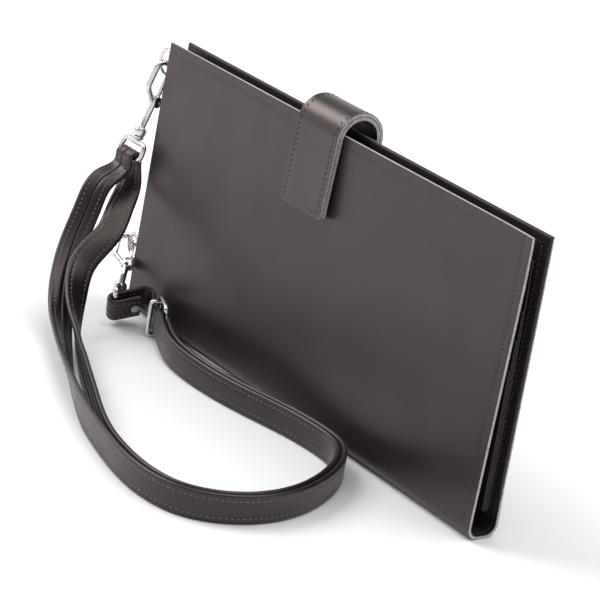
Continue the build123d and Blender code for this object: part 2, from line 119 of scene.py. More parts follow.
# ------------------------------------------------------------------ settings
class LeatherSettings(bpy.types.PropertyGroup):
    colour: FloatVectorProperty(
        name="Leather", description="Colour of the cover, tab and strap leather",
        subtype="COLOR", size=3, min=0, max=1, default=(0.0145, 0.0098, 0.0094),
    )
    lining: FloatVectorProperty(
        name="Lining", description="Colour of the leather inside",
        subtype="COLOR", size=3, min=0, max=1, default=(0.010, 0.0068, 0.0066),
    )
    # The cut edges' light grey is partly their own colour and partly painted highlight: it is set
    # lighter than the bare edge so that the edges look as bright as the top edges where they catch
    # the light.
    cut_edge: FloatVectorProperty(
        name="Cut edge", description="Colour of the leather's bare cut edges",
        subtype="COLOR", size=3, min=0, max=1, default=(0.40, 0.375, 0.375),
    )
    gloss: FloatProperty(
        name="Roughness", description="How softly the leather's finish shines",
        subtype="FACTOR", min=0, max=1, default=0.42,
    )
    grain: FloatProperty(
        name="Grain", description="Size of the leather's finest grain",
        unit="LENGTH", min=0.0001, max=0.005, default=0.0006, precision=5,
    )
    wave: FloatProperty(
        name="Unevenness", description="How far the panels wave out of flat",
        unit="LENGTH", min=0, max=0.002, default=0.00028, precision=5,
    )


class StitchSettings(bpy.types.PropertyGroup):
    pitch: FloatProperty(
        name="Pitch", description="Length of one stitch with its gap",
        unit="LENGTH", min=0.001, max=0.01, default=0.0023, precision=4,
    )
    thread: FloatProperty(
        name="Thread", description="Thickness of the sewing thread",
        unit="LENGTH", min=0.0001, max=0.002, default=0.00052, precision=5,
    )
    colour: FloatVectorProperty(
        name="Thread colour", description="Colour of the sewing thread",
        subtype="COLOR", size=3, min=0, max=1, default=(0.006, 0.005, 0.005),
    )


class MetalSettings(bpy.types.PropertyGroup):
    colour: FloatVectorProperty(
        name="Nickel", description="Colour of the polished hooks and rings",
        subtype="COLOR", size=3, min=0, max=1, default=(0.72, 0.70, 0.68),
    )
    roughness: FloatProperty(
        name="Polish", description="Roughness of the nickel, lower is brighter",
        subtype="FACTOR", min=0, max=1, default=0.13,
    )


class StageSettings(bpy.types.PropertyGroup):
    floor: FloatVectorProperty(
        name="Floor", description="Colour of the plain floor",
        subtype="COLOR", size=3, min=0, max=1, default=(0.93, 0.93, 0.93),
    )
    sky: FloatProperty(
        name="Surroundings", description="Brightness of the white surroundings",
        min=0, max=5, default=0.95,
    )
    key: FloatProperty(
        name="Key light", description="Power of the large soft light",
        unit="POWER", min=0, max=500, default=44.0,
    )


# ------------------------------------------------------------------ finishes
def shader_nodes(name):
    """A fresh material with its node tree, its shader and a place-on-the-piece output."""
    finish = bpy.data.materials.new(name)
    finish.use_nodes = True
    tree = finish.node_tree
    shader = tree.nodes["Principled BSDF"]
    place = tree.nodes.new("ShaderNodeTexCoord").outputs["Object"]
    return finish, tree, shader, place


def grain_noise(tree, place, size, detail=3.0):
    """A noise whose features are that many metres across."""
    texture = tree.nodes.new("ShaderNodeTexNoise")
    texture.inputs["Scale"].default_value = 1.0 / size
    texture.inputs["Detail"].default_value = detail
    tree.links.new(place, texture.inputs["Vector"])
    return texture.outputs["Fac"]


def spread(tree, value, low, high):
    """Maps a noise's middle range on to low to high."""
    reach = tree.nodes.new("ShaderNodeMapRange")
    reach.inputs["From Min"].default_value = 0.3
    reach.inputs["From Max"].default_value = 0.7
    reach.inputs["To Min"].default_value = low
    reach.inputs["To Max"].default_value = high
    tree.links.new(value, reach.inputs["Value"])
    return reach.outputs["Result"]


def tinted(tree, value, dark, light):
    """A colour that runs from dark to light with a noise."""
    ramp = tree.nodes.new("ShaderNodeValToRGB")
    ramp.color_ramp.elements[0].position = 0.32
    ramp.color_ramp.elements[0].color = (*dark, 1)
    ramp.color_ramp.elements[1].position = 0.68
    ramp.color_ramp.elements[1].color = (*light, 1)
    tree.links.new(value, ramp.inputs["Fac"])
    return ramp.outputs["Color"]


def raised(tree, shader, heights, strength, distance):
    """Bump from one or more height outputs added together."""
    total = heights[0]
    for height in heights[1:]:
        both = tree.nodes.new("ShaderNodeMath")
        both.operation = "ADD"
        tree.links.new(total, both.inputs[0])
        tree.links.new(height, both.inputs[1])
        total = both.outputs[0]
    bump = tree.nodes.new("ShaderNodeBump")
    bump.inputs["Strength"].default_value = strength
    bump.inputs["Distance"].default_value = distance
    tree.links.new(total, bump.inputs["Height"])
    tree.links.new(bump.outputs["Normal"], shader.inputs["Normal"])


def scaled(colour, by):
    return tuple(min(1.0, c * by) for c in colour)


def leather(name, colour, roughness, grain, coat=0.25, bump=0.22):
    """Smooth finished leather: fine pebbled grain, cloudy tone and an uneven soft shine."""
    finish, tree, shader, place = shader_nodes(name)
    clouds = grain_noise(tree, place, 0.03, 4.0)
    tone = tinted(tree, clouds, scaled(colour, 0.78), scaled(colour, 1.28))
    tree.links.new(tone, shader.inputs["Base Color"])
    patches = grain_noise(tree, place, 0.012, 5.0)
    rough = spread(tree, patches, roughness - 0.05, roughness + 0.05)
    tree.links.new(rough, shader.inputs["Roughness"])
    pebbles = tree.nodes.new("ShaderNodeTexVoronoi")
    pebbles.feature = "SMOOTH_F1"
    pebbles.inputs["Scale"].default_value = 1.0 / (grain * 1.8)
    tree.links.new(place, pebbles.inputs["Vector"])
    fine = spread(tree, grain_noise(tree, place, grain, 4.0), 0.0, 0.7)
    raised(tree, shader, [pebbles.outputs["Distance"], fine], bump, 0.00006)
    shader.inputs["Specular IOR Level"].default_value = 0.52
    shader.inputs["Specular Tint"].default_value = (1.0, 0.84, 0.82, 1)
    shader.inputs["Coat Weight"].default_value = coat
    shader.inputs["Coat Tint"].default_value = (1.0, 0.9, 0.9, 1)
    shader.inputs["Coat Roughness"].default_value = 0.3
    shader.inputs["Sheen Weight"].default_value = 0.05
    shader.inputs["Sheen Roughness"].default_value = 0.4
    return finish


def cut_edge_finish(name, colour):
    """The bare fibres of a cut and burnished edge."""
    finish, tree, shader, place = shader_nodes(name)
    fibres = grain_noise(tree, place, 0.0007, 6.0)
    tone = tinted(tree, fibres, scaled(colour, 0.62), scaled(colour, 1.22))
    tree.links.new(tone, shader.inputs["Base Color"])
    shader.inputs["Roughness"].default_value = 0.5
    raised(tree, shader, [fibres], 0.35, 0.00012)
    return finish


def thread_finish(name, colour):
    """Waxed polyester thread with its twist."""
    finish, tree, shader, place = shader_nodes(name)
    twist = tree.nodes.new("ShaderNodeTexWave")
    twist.wave_type = "BANDS"
    twist.bands_direction = "DIAGONAL"
    twist.inputs["Scale"].default_value = 900.0
    tree.links.new(place, twist.inputs["Vector"])
    tone = tinted(tree, twist.outputs["Fac"], scaled(colour, 0.7), scaled(colour, 2.2))
    tree.links.new(tone, shader.inputs["Base Color"])
    raised(tree, shader, [twist.outputs["Fac"]], 0.5, 0.0001)
    shader.inputs["Roughness"].default_value = 0.32
    shader.inputs["Specular IOR Level"].default_value = 0.7
    return finish


def nickel_finish(name, colour, roughness):
    """Polished nickel plate with faint handling marks."""
    finish, tree, shader, place = shader_nodes(name)
    marks = grain_noise(tree, place, 0.0016, 6.0)
    tone = tinted(tree, marks, scaled(colour, 0.9), scaled(colour, 1.06))
    tree.links.new(tone, shader.inputs["Base Color"])
    rough = spread(tree, marks, roughness * 0.7, roughness * 1.5)
    tree.links.new(rough, shader.inputs["Roughness"])
    shader.inputs["Metallic"].default_value = 1.0
    raised(tree, shader, [grain_noise(tree, place, 0.004, 2.0)], 0.12, 0.0002)
    return finish


def floor_finish(name, colour):
    """A plain matt floor."""
    finish, tree, shader, place = shader_nodes(name)
    mottle = grain_noise(tree, place, 0.4, 2.0)
    tone = tinted(tree, mottle, scaled(colour, 0.995), colour)
    tree.links.new(tone, shader.inputs["Base Color"])
    shader.inputs["Roughness"].default_value = 0.9
    shader.inputs["Specular IOR Level"].default_value = 0.1
    return finish


def finishes():
    """Every finish of the wallet by its name, made once."""
    scene = bpy.context.scene
    skin, sewing, metal = scene.wristlet_leather, scene.wristlet_stitch, scene.wristlet_metal
    recipes = {
        "cover leather": lambda n: leather(n, skin.colour, skin.gloss, skin.grain),
        "tab leather": lambda n: leather(n, skin.colour, skin.gloss - 0.08, skin.grain, 0.4),
        "strap leather": lambda n: leather(
            n, scaled(skin.colour, 0.6), skin.gloss - 0.04, skin.grain, 0.2,
        ),
        "pocket leather": lambda n: leather(n, skin.lining, 0.5, skin.grain, 0.08),
        "lining leather": lambda n: leather(n, skin.lining, 0.56, skin.grain, 0.0, 0.3),
        # Cut edges: a light grey that is partly painted highlight.
        "cut edge": lambda n: cut_edge_finish(n, skin.cut_edge),
        "pocket edge": lambda n: cut_edge_finish(n, scaled(skin.cut_edge, 0.09)),
        # The strap's thread is the sewing thread made fourteen times lighter: painted highlight for
        # the glints along the strap's stitches.
        "strap thread with painted glints": lambda n: thread_finish(n, scaled(sewing.colour, 14.0)),
        "sewing thread": lambda n: thread_finish(n, sewing.colour),
        "polished nickel": lambda n: nickel_finish(n, metal.colour, metal.roughness),
    }
    return {n: bpy.data.materials.get(n) or make(n) for n, make in recipes.items()}


# ------------------------------------------------------------------ mesh making
def make_piece(name, points, faces, looks, picks=None):
    """A smooth-shaded mesh object from points in mm. picks chooses a look for each face."""
    mesh = bpy.data.meshes.new(name)
    mesh.from_pydata([Vector(p) * MM for p in points], [], faces)
    known = finishes()
    for look in looks:
        mesh.materials.append(known[look])
    if picks is not None:
        mesh.polygons.foreach_set("material_index", picks)
    mesh.polygons.foreach_set("use_smooth", [True] * len(mesh.polygons))
    mesh.update()
    piece = bpy.data.objects.new(name, mesh)
    bpy.context.scene.collection.objects.link(piece)
    return piece


def soften_rims(piece, width, segments=2):
    """Rounds the edges where a leaf's faces meet its cut edge, and evens the shading there."""
    work = bmesh.new()
    work.from_mesh(piece.data)
    bmesh.ops.recalc_face_normals(work, faces=work.faces)
    rims = [
        e for e in work.edges
        if len(e.link_faces) == 2
        and e.link_faces[0].material_index != e.link_faces[1].material_index
        and e.calc_face_angle(0) > 0.6
    ]
    bmesh.ops.bevel(
        work, geom=rims, offset=width * MM, segments=segments, profile=0.5, affect="EDGES",
        clamp_overlap=True,
    )
    for face in work.faces:
        face.smooth = True
    work.to_mesh(piece.data)
    work.free()
    piece.data.update()
    even = piece.modifiers.new("even shading", "WEIGHTED_NORMAL")
    even.keep_sharp = True
    return piece


def leaf(name, near, far, looks, rounding=0.3):
    """A closed leaf between two equal grids of points. looks are its two faces and its rim."""
    rows, columns = len(near), len(near[0])
    half = rows * columns
    points = [p for row in near for p in row] + [p for row in far for p in row]
    faces, picks = [], []
    for r in range(rows - 1):
        for c in range(columns - 1):
            a, b = r * columns + c, r * columns + c + 1
            d, e = a + columns, b + columns
            faces += [(a, b, e, d), (half + d, half + e, half + b, half + a)]
            picks += [0, 1]
    rim = [(0, c) for c in range(columns)]
    rim += [(r, columns - 1) for r in range(1, rows)]
    rim += [(rows - 1, c) for c in range(columns - 2, -1, -1)]
    rim += [(r, 0) for r in range(rows - 2, 0, -1)]
    rim = [r * columns + c for r, c in rim]
    for a, b in zip(rim, rim[1:] + rim[:1]):
        faces.append((b, a, half + a, half + b))
        picks.append(2)
    return soften_rims(make_piece(name, points, faces, looks, picks), rounding)


def tube(name, path, radius, look, closed=False, sides=20):
    """A round wire along a row of points."""
    count = len(path)
    points, faces = [], []
    side = None
    for n, here in enumerate(path):
        before = path[n - 1] if n or closed else here
        after = path[(n + 1) % count] if n < count - 1 or closed else here
        way = (after - before).normalized()
        if side is None:
            side = way.orthogonal().normalized()
        side = (side - way * side.dot(way)).normalized()
        other = way.cross(side)
        for k in range(sides):
            turn = 2 * math.pi * k / sides
            points.append(here + (side * math.cos(turn) + other * math.sin(turn)) * radius)
    for n in range(count if closed else count - 1):
        a, b = n * sides, (n + 1) % count * sides
        for k in range(sides):
            m = (k + 1) % sides
            faces.append((a + k, a + m, b + m, b + k))
    if not closed:
        faces += [tuple(reversed(range(sides))), tuple(range((count - 1) * sides, count * sides))]
    return make_piece(name, points, faces, [look])


def lathe(name, outline, place, look, sides=48):
    """A turned piece from (radius, height) pairs, closed on its own axis at both ends."""
    points, faces = [], []
    for radius, height in outline:
        for k in range(sides):
            turn = 2 * math.pi * k / sides
            flat = Vector((radius * math.cos(turn), radius * math.sin(turn), height))
            points.append(place @ flat)
    for n in range(len(outline) - 1):
        a, b = n * sides, (n + 1) * sides
        for k in range(sides):
            m = (k + 1) % sides
            faces.append((a + k, a + m, b + m, b + k))
    last = (len(outline) - 1) * sides
    faces += [tuple(reversed(range(sides))), tuple(range(last, last + sides))]
    piece = make_piece(name, points, faces, [look])
    return sharp_over(piece, 35)


def sharp_over(piece, angle):
    """Keeps edges crisp where faces meet at more than an angle, in degrees."""
    piece.data.set_sharp_from_angle(angle=math.radians(angle))
    return piece


def stitch_row(name, places, body, lift=0.1, look="sewing thread"):
    """Sewn stitches as short plump threads. places are (point, way, outward) in mm."""
    sewing = bpy.context.scene.wristlet_stitch
    length, thick = sewing.pitch / MM * 0.68, sewing.thread / MM
    rings, sides = 7, 8
    points, faces = [], []
    for point, way, out in places:
        way, out = Vector(way).normalized(), Vector(out).normalized()
        across = way.cross(out).normalized()
        start = len(points)
        for r in range(rings):
            share = r / (rings - 1) * 2 - 1
            fat = thick / 2 * max(0.30, (1 - abs(share) ** 3.2))
            sink = -thick * 0.75 * abs(share) ** 3
            middle = Vector(point) + way * (share * length / 2) + out * (sink + lift)
            for k in range(sides):
                turn = 2 * math.pi * k / sides
                points.append(middle + (across * math.cos(turn) + out * math.sin(turn)) * fat)
        for r in range(rings - 1):
            a, b = start + r * sides, start + (r + 1) * sides
            for k in range(sides):
                m = (k + 1) % sides
                faces.append((a + k, b + k, b + m, a + m))
        end = start + (rings - 1) * sides
        faces += [tuple(range(start, start + sides)), tuple(reversed(range(end, end + sides)))]
    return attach(make_piece(name, points, faces, [look]), body)


def steps(low, high, apart, extra=()):
    """Numbers from low to high, about that far apart, with more lines close to some places."""
    count = max(1, round((high - low) / apart))
    marks = [low + (high - low) * n / count for n in range(count + 1)]
    for middle, offsets in extra:
        marks += [middle + o for o in offsets if low < middle + o < high]
    marks = sorted(set(round(m, 4) for m in marks))
    kept = [marks[0]]
    for mark in marks[1:]:
        if mark - kept[-1] > 0.28:
            kept.append(mark)
    kept[-1] = high
    return kept


def groove(distance, depth=0.14, width=0.75):
    """How far a seam pulls the leather in, at a distance from its line."""
    return depth * math.exp(-((distance / width) ** 2))


SEAM_LINES = (-1.6, -0.8, 0.0, 0.8, 1.6)
RIM_LINES = (-2.5, -2.0, -1.5, -1.1, -0.7, -0.4)


def face_y(z, depth=0.0):
    """Distance from the wallet's middle plane of a layer's face."""
    return SPINE_HALF - TAPER * (z - FOOT) - depth


def pairs_along(a, b, pitch):
    """Stitch middles from point a to point b."""
    a, b = Vector(a), Vector(b)
    count = max(1, int((b - a).length / pitch))
    return [(a + (b - a) * ((n + 0.5) / count), b - a) for n in range(count)]


# ------------------------------------------------------------------ cover
def panel_wave(x, z, side):
    """The cover's slight waves, dying out at the spine."""
    amount = bpy.context.scene.wristlet_leather.wave / MM
    free = min(1.0, max(0.0, (z - FOOT) / 50.0))
    wave = noise.noise(Vector((x / 62.0, z / 55.0, 3.7 * side)))
    wave += 0.35 * noise.noise(Vector((x / 21.0, z / 24.0, 9.1 * side)))
    return amount * free * wave


def cover_outline():
    """The cover's side view from the front's top round the spine to the back's top.
    Each entry is (y, z, inward y, inward z)."""
    seam = [(TOP - SEAM_INSET, SEAM_LINES), (TOP, RIM_LINES), (FOOT, (1.2,)), (TOP - HEM, (0, 1.3))]
    rises = steps(FOOT, TOP, 4.0, seam)
    outline = [(-face_y(z), z, 1.0, 0.0) for z in reversed(rises)]
    radius = SPINE_HALF - SPINE_FLAT_HALF
    turns = 12
    for n in range(turns + 1):
        angle = math.pi + math.pi / 2 * n / turns
        y, z = math.cos(angle), math.sin(angle)
        outline.append((-SPINE_FLAT_HALF + radius * y, radius + radius * z, -y, -z))
    outline += [(y, 0.0, 0.0, 1.0) for y in (-1.0, 0.0, 1.0)]
    for n in range(turns + 1):
        angle = math.pi * 1.5 + math.pi / 2 * n / turns
        y, z = math.cos(angle), math.sin(angle)
        outline.append((SPINE_FLAT_HALF + radius * y, radius + radius * z, -y, -z))
    outline += [(face_y(z), z, -1.0, 0.0) for z in rises]
    return outline


def cover_dent(x, z, side):
    """How far in the seams pull the cover, and its waves."""
    dent = 0.0
    if z > FOOT:
        if z > TOP - SEAM_INSET - 3:
            dent += groove(z - (TOP - SEAM_INSET))
        dent += groove(x - (HALF_LENGTH - SEAM_INSET))
    return dent - panel_wave(x, z, side)


def make_cover():
    """Front panel, spine and back panel in one piece of leather, and its stitching."""
    seam = [
        (HALF_LENGTH - SEAM_INSET, SEAM_LINES), (HALF_LENGTH, RIM_LINES),
        (-HALF_LENGTH, tuple(-n for n in RIM_LINES)), (HALF_LENGTH - HEM, (0, 1.3)),
    ]
    columns = steps(-HALF_LENGTH, HALF_LENGTH, 4.0, seam)
    outer, inner = [], []
    for y, z, in_y, in_z in cover_outline():
        side = -1 if y < 0 else 1
        row_out, row_in = [], []
        for x in columns:
            dent = cover_dent(x, z, side)
            curl = corner_curl(x, z) if y < 0 else 0.0
            shift = dent - curl
            deep = COVER + 0.4 * shift - 0.6 * curl
            if y > 0 and z > FOOT - 0.01:
                thick, cut = hem(x, z)
                shift, deep = shift + cut, max(deep, thick) - cut
            row_out.append((x, y + in_y * shift, max(0.0, z + in_z * shift)))
            row_in.append((x, y + in_y * deep, z + in_z * deep))
        outer.append(row_out)
        inner.append(row_in)
    cover = leaf("cover", outer, inner, ["cover leather", "lining leather", "cut edge"], 0.28)
    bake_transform(cover)
    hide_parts("front_panel", "spine", "back_panel")
    pitch = bpy.context.scene.wristlet_stitch.pitch / MM
    for side, body, word in ((-1, "front_half", "front"), (1, "back_half", "back")):
        height, right = TOP - SEAM_INSET, HALF_LENGTH - SEAM_INSET
        rows = pairs_along((-HALF_LENGTH + 1.5, 0, height), (right, 0, height), pitch)
        rows += pairs_along((right, 0, height - 0.5), (right, 0, FOOT + 1.0), pitch)
        places = []
        for point, way in rows:
            y = face_y(point.z) - cover_dent(point.x, point.z, side)
            places.append((Vector((point.x, side * y, point.z)), way, (0, side, TAPER)))
        inside = []
        for point, way in rows:
            if point.z > LINING_FREE:
                y = face_y(point.z, LINING_DEPTH + LINING)
                inside.append((Vector((point.x, side * y, point.z)), way, (0, -side, 0)))
        stitch_row(f"{word}_stitching", places, body, 0.05)
        stitch_row(f"{word}_lining_stitching", inside, body, 0.05)


LINING_FREE = 10.0
HEM, HEM_THICK = 6.0, 2.15    # the back half's leather is turned over this far, this thick


def hem(x, z):
    """The back half's turned edge: its thickness, and how far its rounded rim falls away."""
    rise = min(1.0, max(0.0, (z - FOOT) / 14.0))
    inside = min(TOP - z, HALF_LENGTH - abs(x))
    full = min(1.0, max(0.0, (HEM - inside) / 1.2)) * rise
    thick = COVER + (HEM_THICK - COVER) * full
    radius = thick / 2
    if inside >= radius:
        return thick, 0.0
    return thick, (radius - math.sqrt(max(0.0, radius**2 - (radius - inside) ** 2))) * 0.86 * rise


def corner_curl(x, z):
    """The front panel's top right corner turns outwards a little."""
    near = max(0.0, 1 - (HALF_LENGTH - x) / 16.0) * max(0.0, 1 - (TOP - z) / 22.0)
    return 0.75 * near ** 1.6


# ------------------------------------------------------------------ lining and pockets
def flat_leaf(name, side, depth, thick, low, high, margin, looks, bow=None):
    """A leaf that lies against one half, with a folded or cut rim. bow moves it inwards."""
    half = HALF_LENGTH - margin
    columns = steps(-half, half, 5.0, [(half, (-0.8, -2.4, -1.6)), (-half, (0.8,))])
    rises = steps(low, high, 5.0, [(high, (-0.8, -1.6, -2.4)), (low, (0.8,))])
    near, far = [], []
    for z in rises:
        row_near, row_far = [], []
        for x in columns:
            away = bow(x, z) if bow else 0.0
            lift = -0.10 * groove(z - (high - 2.0), 1.0, 0.6)
            y = face_y(z, depth) - away
            row_near.append((x, side * y, z))
            row_far.append((x, side * (y - thick - lift * 0.5), z))
        near.append(row_near)
        far.append(row_far)
    return leaf(name, near, far, looks, min(0.22, thick * 0.4))


def note_bow(x, z):
    """The note pocket stands open at its top right corner."""
    right = max(0.0, min(1.0, (x - 60.0) / 56.0))
    high = max(0.0, min(1.0, (z - 40.0) / 72.0))
    return 1.9 * right ** 1.5 * high ** 1.6


def slip_bow(x, z):
    """The slip pocket stands a little open at its top right corner."""
    right = max(0.0, min(1.0, (x - 70.0) / 46.0))
    high = max(0.0, min(1.0, (z - 60.0) / 46.0))
    return 0.5 * right * high


def make_lining():
    """Linings of both halves, stepped where the hidden boards end, and the lining inside the spine.
    """
    looks = ["lining leather", "lining leather", "cover leather"]
    top, foot = TOP - 1.5, FOOT
    for side, body, word in ((-1, "front_half", "front"), (1, "back_half", "back")):
        rise = (lambda x, z: -board_step(x, z))
        skin = flat_leaf(
            f"{word}_lining_leaf", side, LINING_DEPTH, LINING, foot, top, 1.5, looks, rise,
        )
        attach(skin, body)
        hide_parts(f"{word}_lining", f"{word}_board")
    radius = SPINE_HALF - SPINE_FLAT_HALF - COVER - 0.02
    half = HALF_LENGTH - 1.5
    columns = steps(-half, half, 6.0, [(half, (-0.8,)), (-half, (0.8,))])
    outline = []
    for centre, start in ((-SPINE_FLAT_HALF, math.pi), (SPINE_FLAT_HALF, math.pi * 1.5)):
        for n in range(9):
            angle = start + math.pi / 2 * n / 8
            outline.append((centre, math.cos(angle), math.sin(angle)))
    middle = SPINE_HALF - SPINE_FLAT_HALF
    outer = [[(x, c + radius * y, middle + radius * z) for x in columns] for c, y, z in outline]
    inner = [
        [(x, c + (radius - LINING) * y, middle + (radius - LINING) * z) for x in columns]
        for c, y, z in outline
    ]
    gutter = leaf("spine_lining_leaf", outer, inner, looks, 0.15)
    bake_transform(gutter)
    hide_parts("spine_lining")


def board_step(x, z):
    """Beyond the stiffening board the lining dips to the cover leather."""
    past = max(
        abs(x) - (HALF_LENGTH - 5.0), z - (TOP - 5.0), 0.0,
    )
    return 0.72 * min(1.0, past / 1.6)


def make_pockets():
    """Slip pocket in the front half, note pocket and three card pockets in the back half."""
    looks = ["pocket leather", "pocket leather", "pocket edge"]
    slip = flat_leaf(
        "slip_pocket_leaf", -1, POCKET_DEPTH, POCKET, 9.5, 106.0, 4.0, looks, slip_bow,
    )
    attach(slip, "front_half")
    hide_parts("slip_pocket")
    note = flat_leaf(
        "note_pocket_leaf", 1, POCKET_DEPTH, POCKET, 9.5, 112.0, 4.0, looks, note_bow,
    )
    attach(note, "back_half")
    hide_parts("note_pocket")
    tops = (92.0, 80.0, 68.0)
    for number, top in enumerate(tops, 1):
        card = flat_leaf(
            f"card_pocket_{number}_leaf", 1, POCKET_DEPTH + POCKET_STEP * number, POCKET,
            9.5, top, 4.0, looks, lambda x, z: note_bow(x, z) * 1.0,
        )
        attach(card, "back_half")
        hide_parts(f"card_pocket_{number}")
    pitch = bpy.context.scene.wristlet_stitch.pitch / MM
    places = []
    for depth, top, side, bow in (
        (POCKET_DEPTH, 106.0, -1, slip_bow), (POCKET_DEPTH, 112.0, 1, note_bow),
        (POCKET_DEPTH + POCKET_STEP, 92.0, 1, note_bow),
        (POCKET_DEPTH + 2 * POCKET_STEP, 80.0, 1, note_bow),
        (POCKET_DEPTH + 3 * POCKET_STEP, 68.0, 1, note_bow),
    ):
        row = []
        for point, way in pairs_along((-114, 0, top - 2.0), (114, 0, top - 2.0), pitch):
            y = face_y(point.z, depth + POCKET) - bow(point.x, point.z)
            row.append((Vector((point.x, side * y, point.z)), way, (0, -side, 0)))
        places.append((side, row))
    down = []
    for x in (-112.5, 0.0, 112.5):
        for point, way in pairs_along((x, 0, 10.5), (x, 0, 67.0), pitch):
            y = face_y(point.z, POCKET_DEPTH + 3 * POCKET_STEP + POCKET) - note_bow(x, point.z)
            down.append((Vector((x, y, point.z)), way, (0, -1, 0)))
    front = [p for side, row in places if side < 0 for p in row]
    back = [p for side, row in places if side > 0 for p in row] + down
    stitch_row("slip_pocket_stitching", front, "front_half", 0.04)
    stitch_row("card_pocket_stitching", back, "back_half", 0.04)


# ------------------------------------------------------------------ closure tab
def tab_line(start, end, apart):
    """Side-view samples of a straight run: (y, z, way y, way z)."""
    way = (Vector(end) - Vector(start))
    count = max(1, round(way.length / apart))
    unit = way.normalized()
    return [
        (*(Vector(start) + way * (n / count)), unit.x, unit.y) for n in range(count + 1)
    ]


def flap_path():
    """The moving tab's side view, from its foot on the front over the arch to its hinge."""
    leaves = Vector((ARCH_Y - ARCH_R * math.sin(TAB_LEAN), ARCH_Z + ARCH_R * math.cos(TAB_LEAN)))
    unit = (leaves - Vector(TAB_FOOT)).normalized()
    marks = [0.35, 0.8, 1.4, 2.1, 3.0]
    first = [(*TAB_FOOT, unit.x, unit.y)]
    first += [(*(Vector(TAB_FOOT) + unit * m), unit.x, unit.y) for m in marks]
    run = tab_line(Vector(TAB_FOOT) + unit * 4.2, leaves, 1.6)
    arch = []
    sweep = TAB_LEAN + math.pi / 2
    for n in range(1, 49):
        angle = sweep * (1 - n / 48)
        y, z = ARCH_Y + ARCH_R * math.cos(angle), ARCH_Z + ARCH_R * math.sin(angle)
        arch.append((y, z, math.sin(angle), -math.cos(angle)))
    return first + run + arch


def base_path():
    """The sewn-down leg on the back, from its foot up to the hinge."""
    foot = (face_y(TAB_SEAM_FOOT) + TAB_SEAM_OFF, TAB_SEAM_FOOT)
    seam = (face_y(TAB_SEAM_TOP) + TAB_SEAM_OFF, TAB_SEAM_TOP)
    knee = (ARCH_Y + ARCH_R, BASE_TOP_Z - 1.0)
    hinge = (ARCH_Y + ARCH_R, ARCH_Z)
    route = smooth_row(
        [Vector((*foot, 0)), Vector((foot[0] - 0.12, 82, 0)), Vector((seam[0] - 0.1, 96, 0)),
         Vector((seam[0] + 1.6, 105, 0)), Vector((knee[0] - 0.75, 112.6, 0)),
         Vector((knee[0] - 0.02, BASE_TOP_Z, 0)),
         Vector((*hinge, 0))], 1.2,
    )
    path = []
    for n, point in enumerate(route):
        before, after = route[max(n - 1, 0)], route[min(n + 1, len(route) - 1)]
        way = (after - before).normalized()
        path.append((point.x, point.y, way.x, way.y))
    return path


def tab_width(distance, corner):
    """Half width of the tab at a distance from its rounded end."""
    if distance >= corner:
        return TAB_HALF
    return TAB_HALF - corner + math.sqrt(max(0.0, corner**2 - (corner - distance) ** 2))


def tab_ply(name, path, low, high, corner, looks, seam_side):
    """One ply of the tab between two distances to the left of its path."""
    seam_at = (TAB_HALF - TAB_INSET) / TAB_HALF
    across = sorted(set(
        [n / 10 for n in range(-9, 10)] + [-1.0, 1.0, -0.96, 0.96]
        + [s * (seam_at + o) for s in (-1, 1) for o in (-0.06, 0.0, 0.055)]
    ))
    across = [a for n, a in enumerate(across) if n == 0 or a - across[n - 1] > 0.02]
    near, far = [], []
    run = 0.0
    for n, (y, z, way_y, way_z) in enumerate(path):
        if n:
            run += math.hypot(y - path[n - 1][0], z - path[n - 1][1])
        half = tab_width(run, corner)
        left_y, left_z = -way_z, way_y
        rows = []
        for distance in (low, high):
            row = []
            for share in across:
                dent = 0.0
                if distance == seam_side:
                    dent = groove(abs(share) * TAB_HALF - (TAB_HALF - TAB_INSET), 0.16, 0.8)
                    crown = 0.10 * (1 - share**2)
                    dent = dent - crown
                d = distance - math.copysign(dent, distance) if distance else distance
                row.append((TAB_X + half * share, y + left_y * d, z + left_z * d))
            rows.append(row)
        near.append(rows[0])
        far.append(rows[1])
    return leaf(name, near, far, looks, 0.24)


def make_tab():
    """The closure tab: two plies with bare cut edges, sewn round, and its stitching."""
    looks = ["tab leather", "tab leather", "cut edge"]
    flap, base = flap_path(), base_path()
    outer = tab_ply("tab_outer_ply", flap, 0.03, TAB_PLY, 2.2, looks, TAB_PLY)
    inner = tab_ply("tab_inner_ply", flap, -TAB_PLY, -0.03, 2.2, looks, NO_SEAM)
    for ply, node in ((outer, "tab_flap"), (inner, "tab_flap_lining")):
        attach(ply, "flap")
        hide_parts(node)
    back = []
    for name, low, high, seam in (
        ("tab_base_outer_ply", -TAB_PLY, -0.03, -TAB_PLY),
        ("tab_base_inner_ply", 0.03, TAB_PLY, NO_SEAM),
    ):
        back.append(tab_ply(name, base, low, high, 2.2, looks, seam))
    for ply in back:
        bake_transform(ply)
    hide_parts("tab_base")
    pitch = bpy.context.scene.wristlet_stitch.pitch / MM
    rows = along_tab(flap, TAB_PLY, TAB_INSET, pitch)
    stitch_row("tab_stitching", rows, "flap", 0.02)
    rows = [r for r in along_tab(base, -TAB_PLY, TAB_INSET, pitch) if r[0].z < BASE_TOP_Z - 1.5]
    stitch_row("tab_base_stitching", rows, "back_half", 0.02)


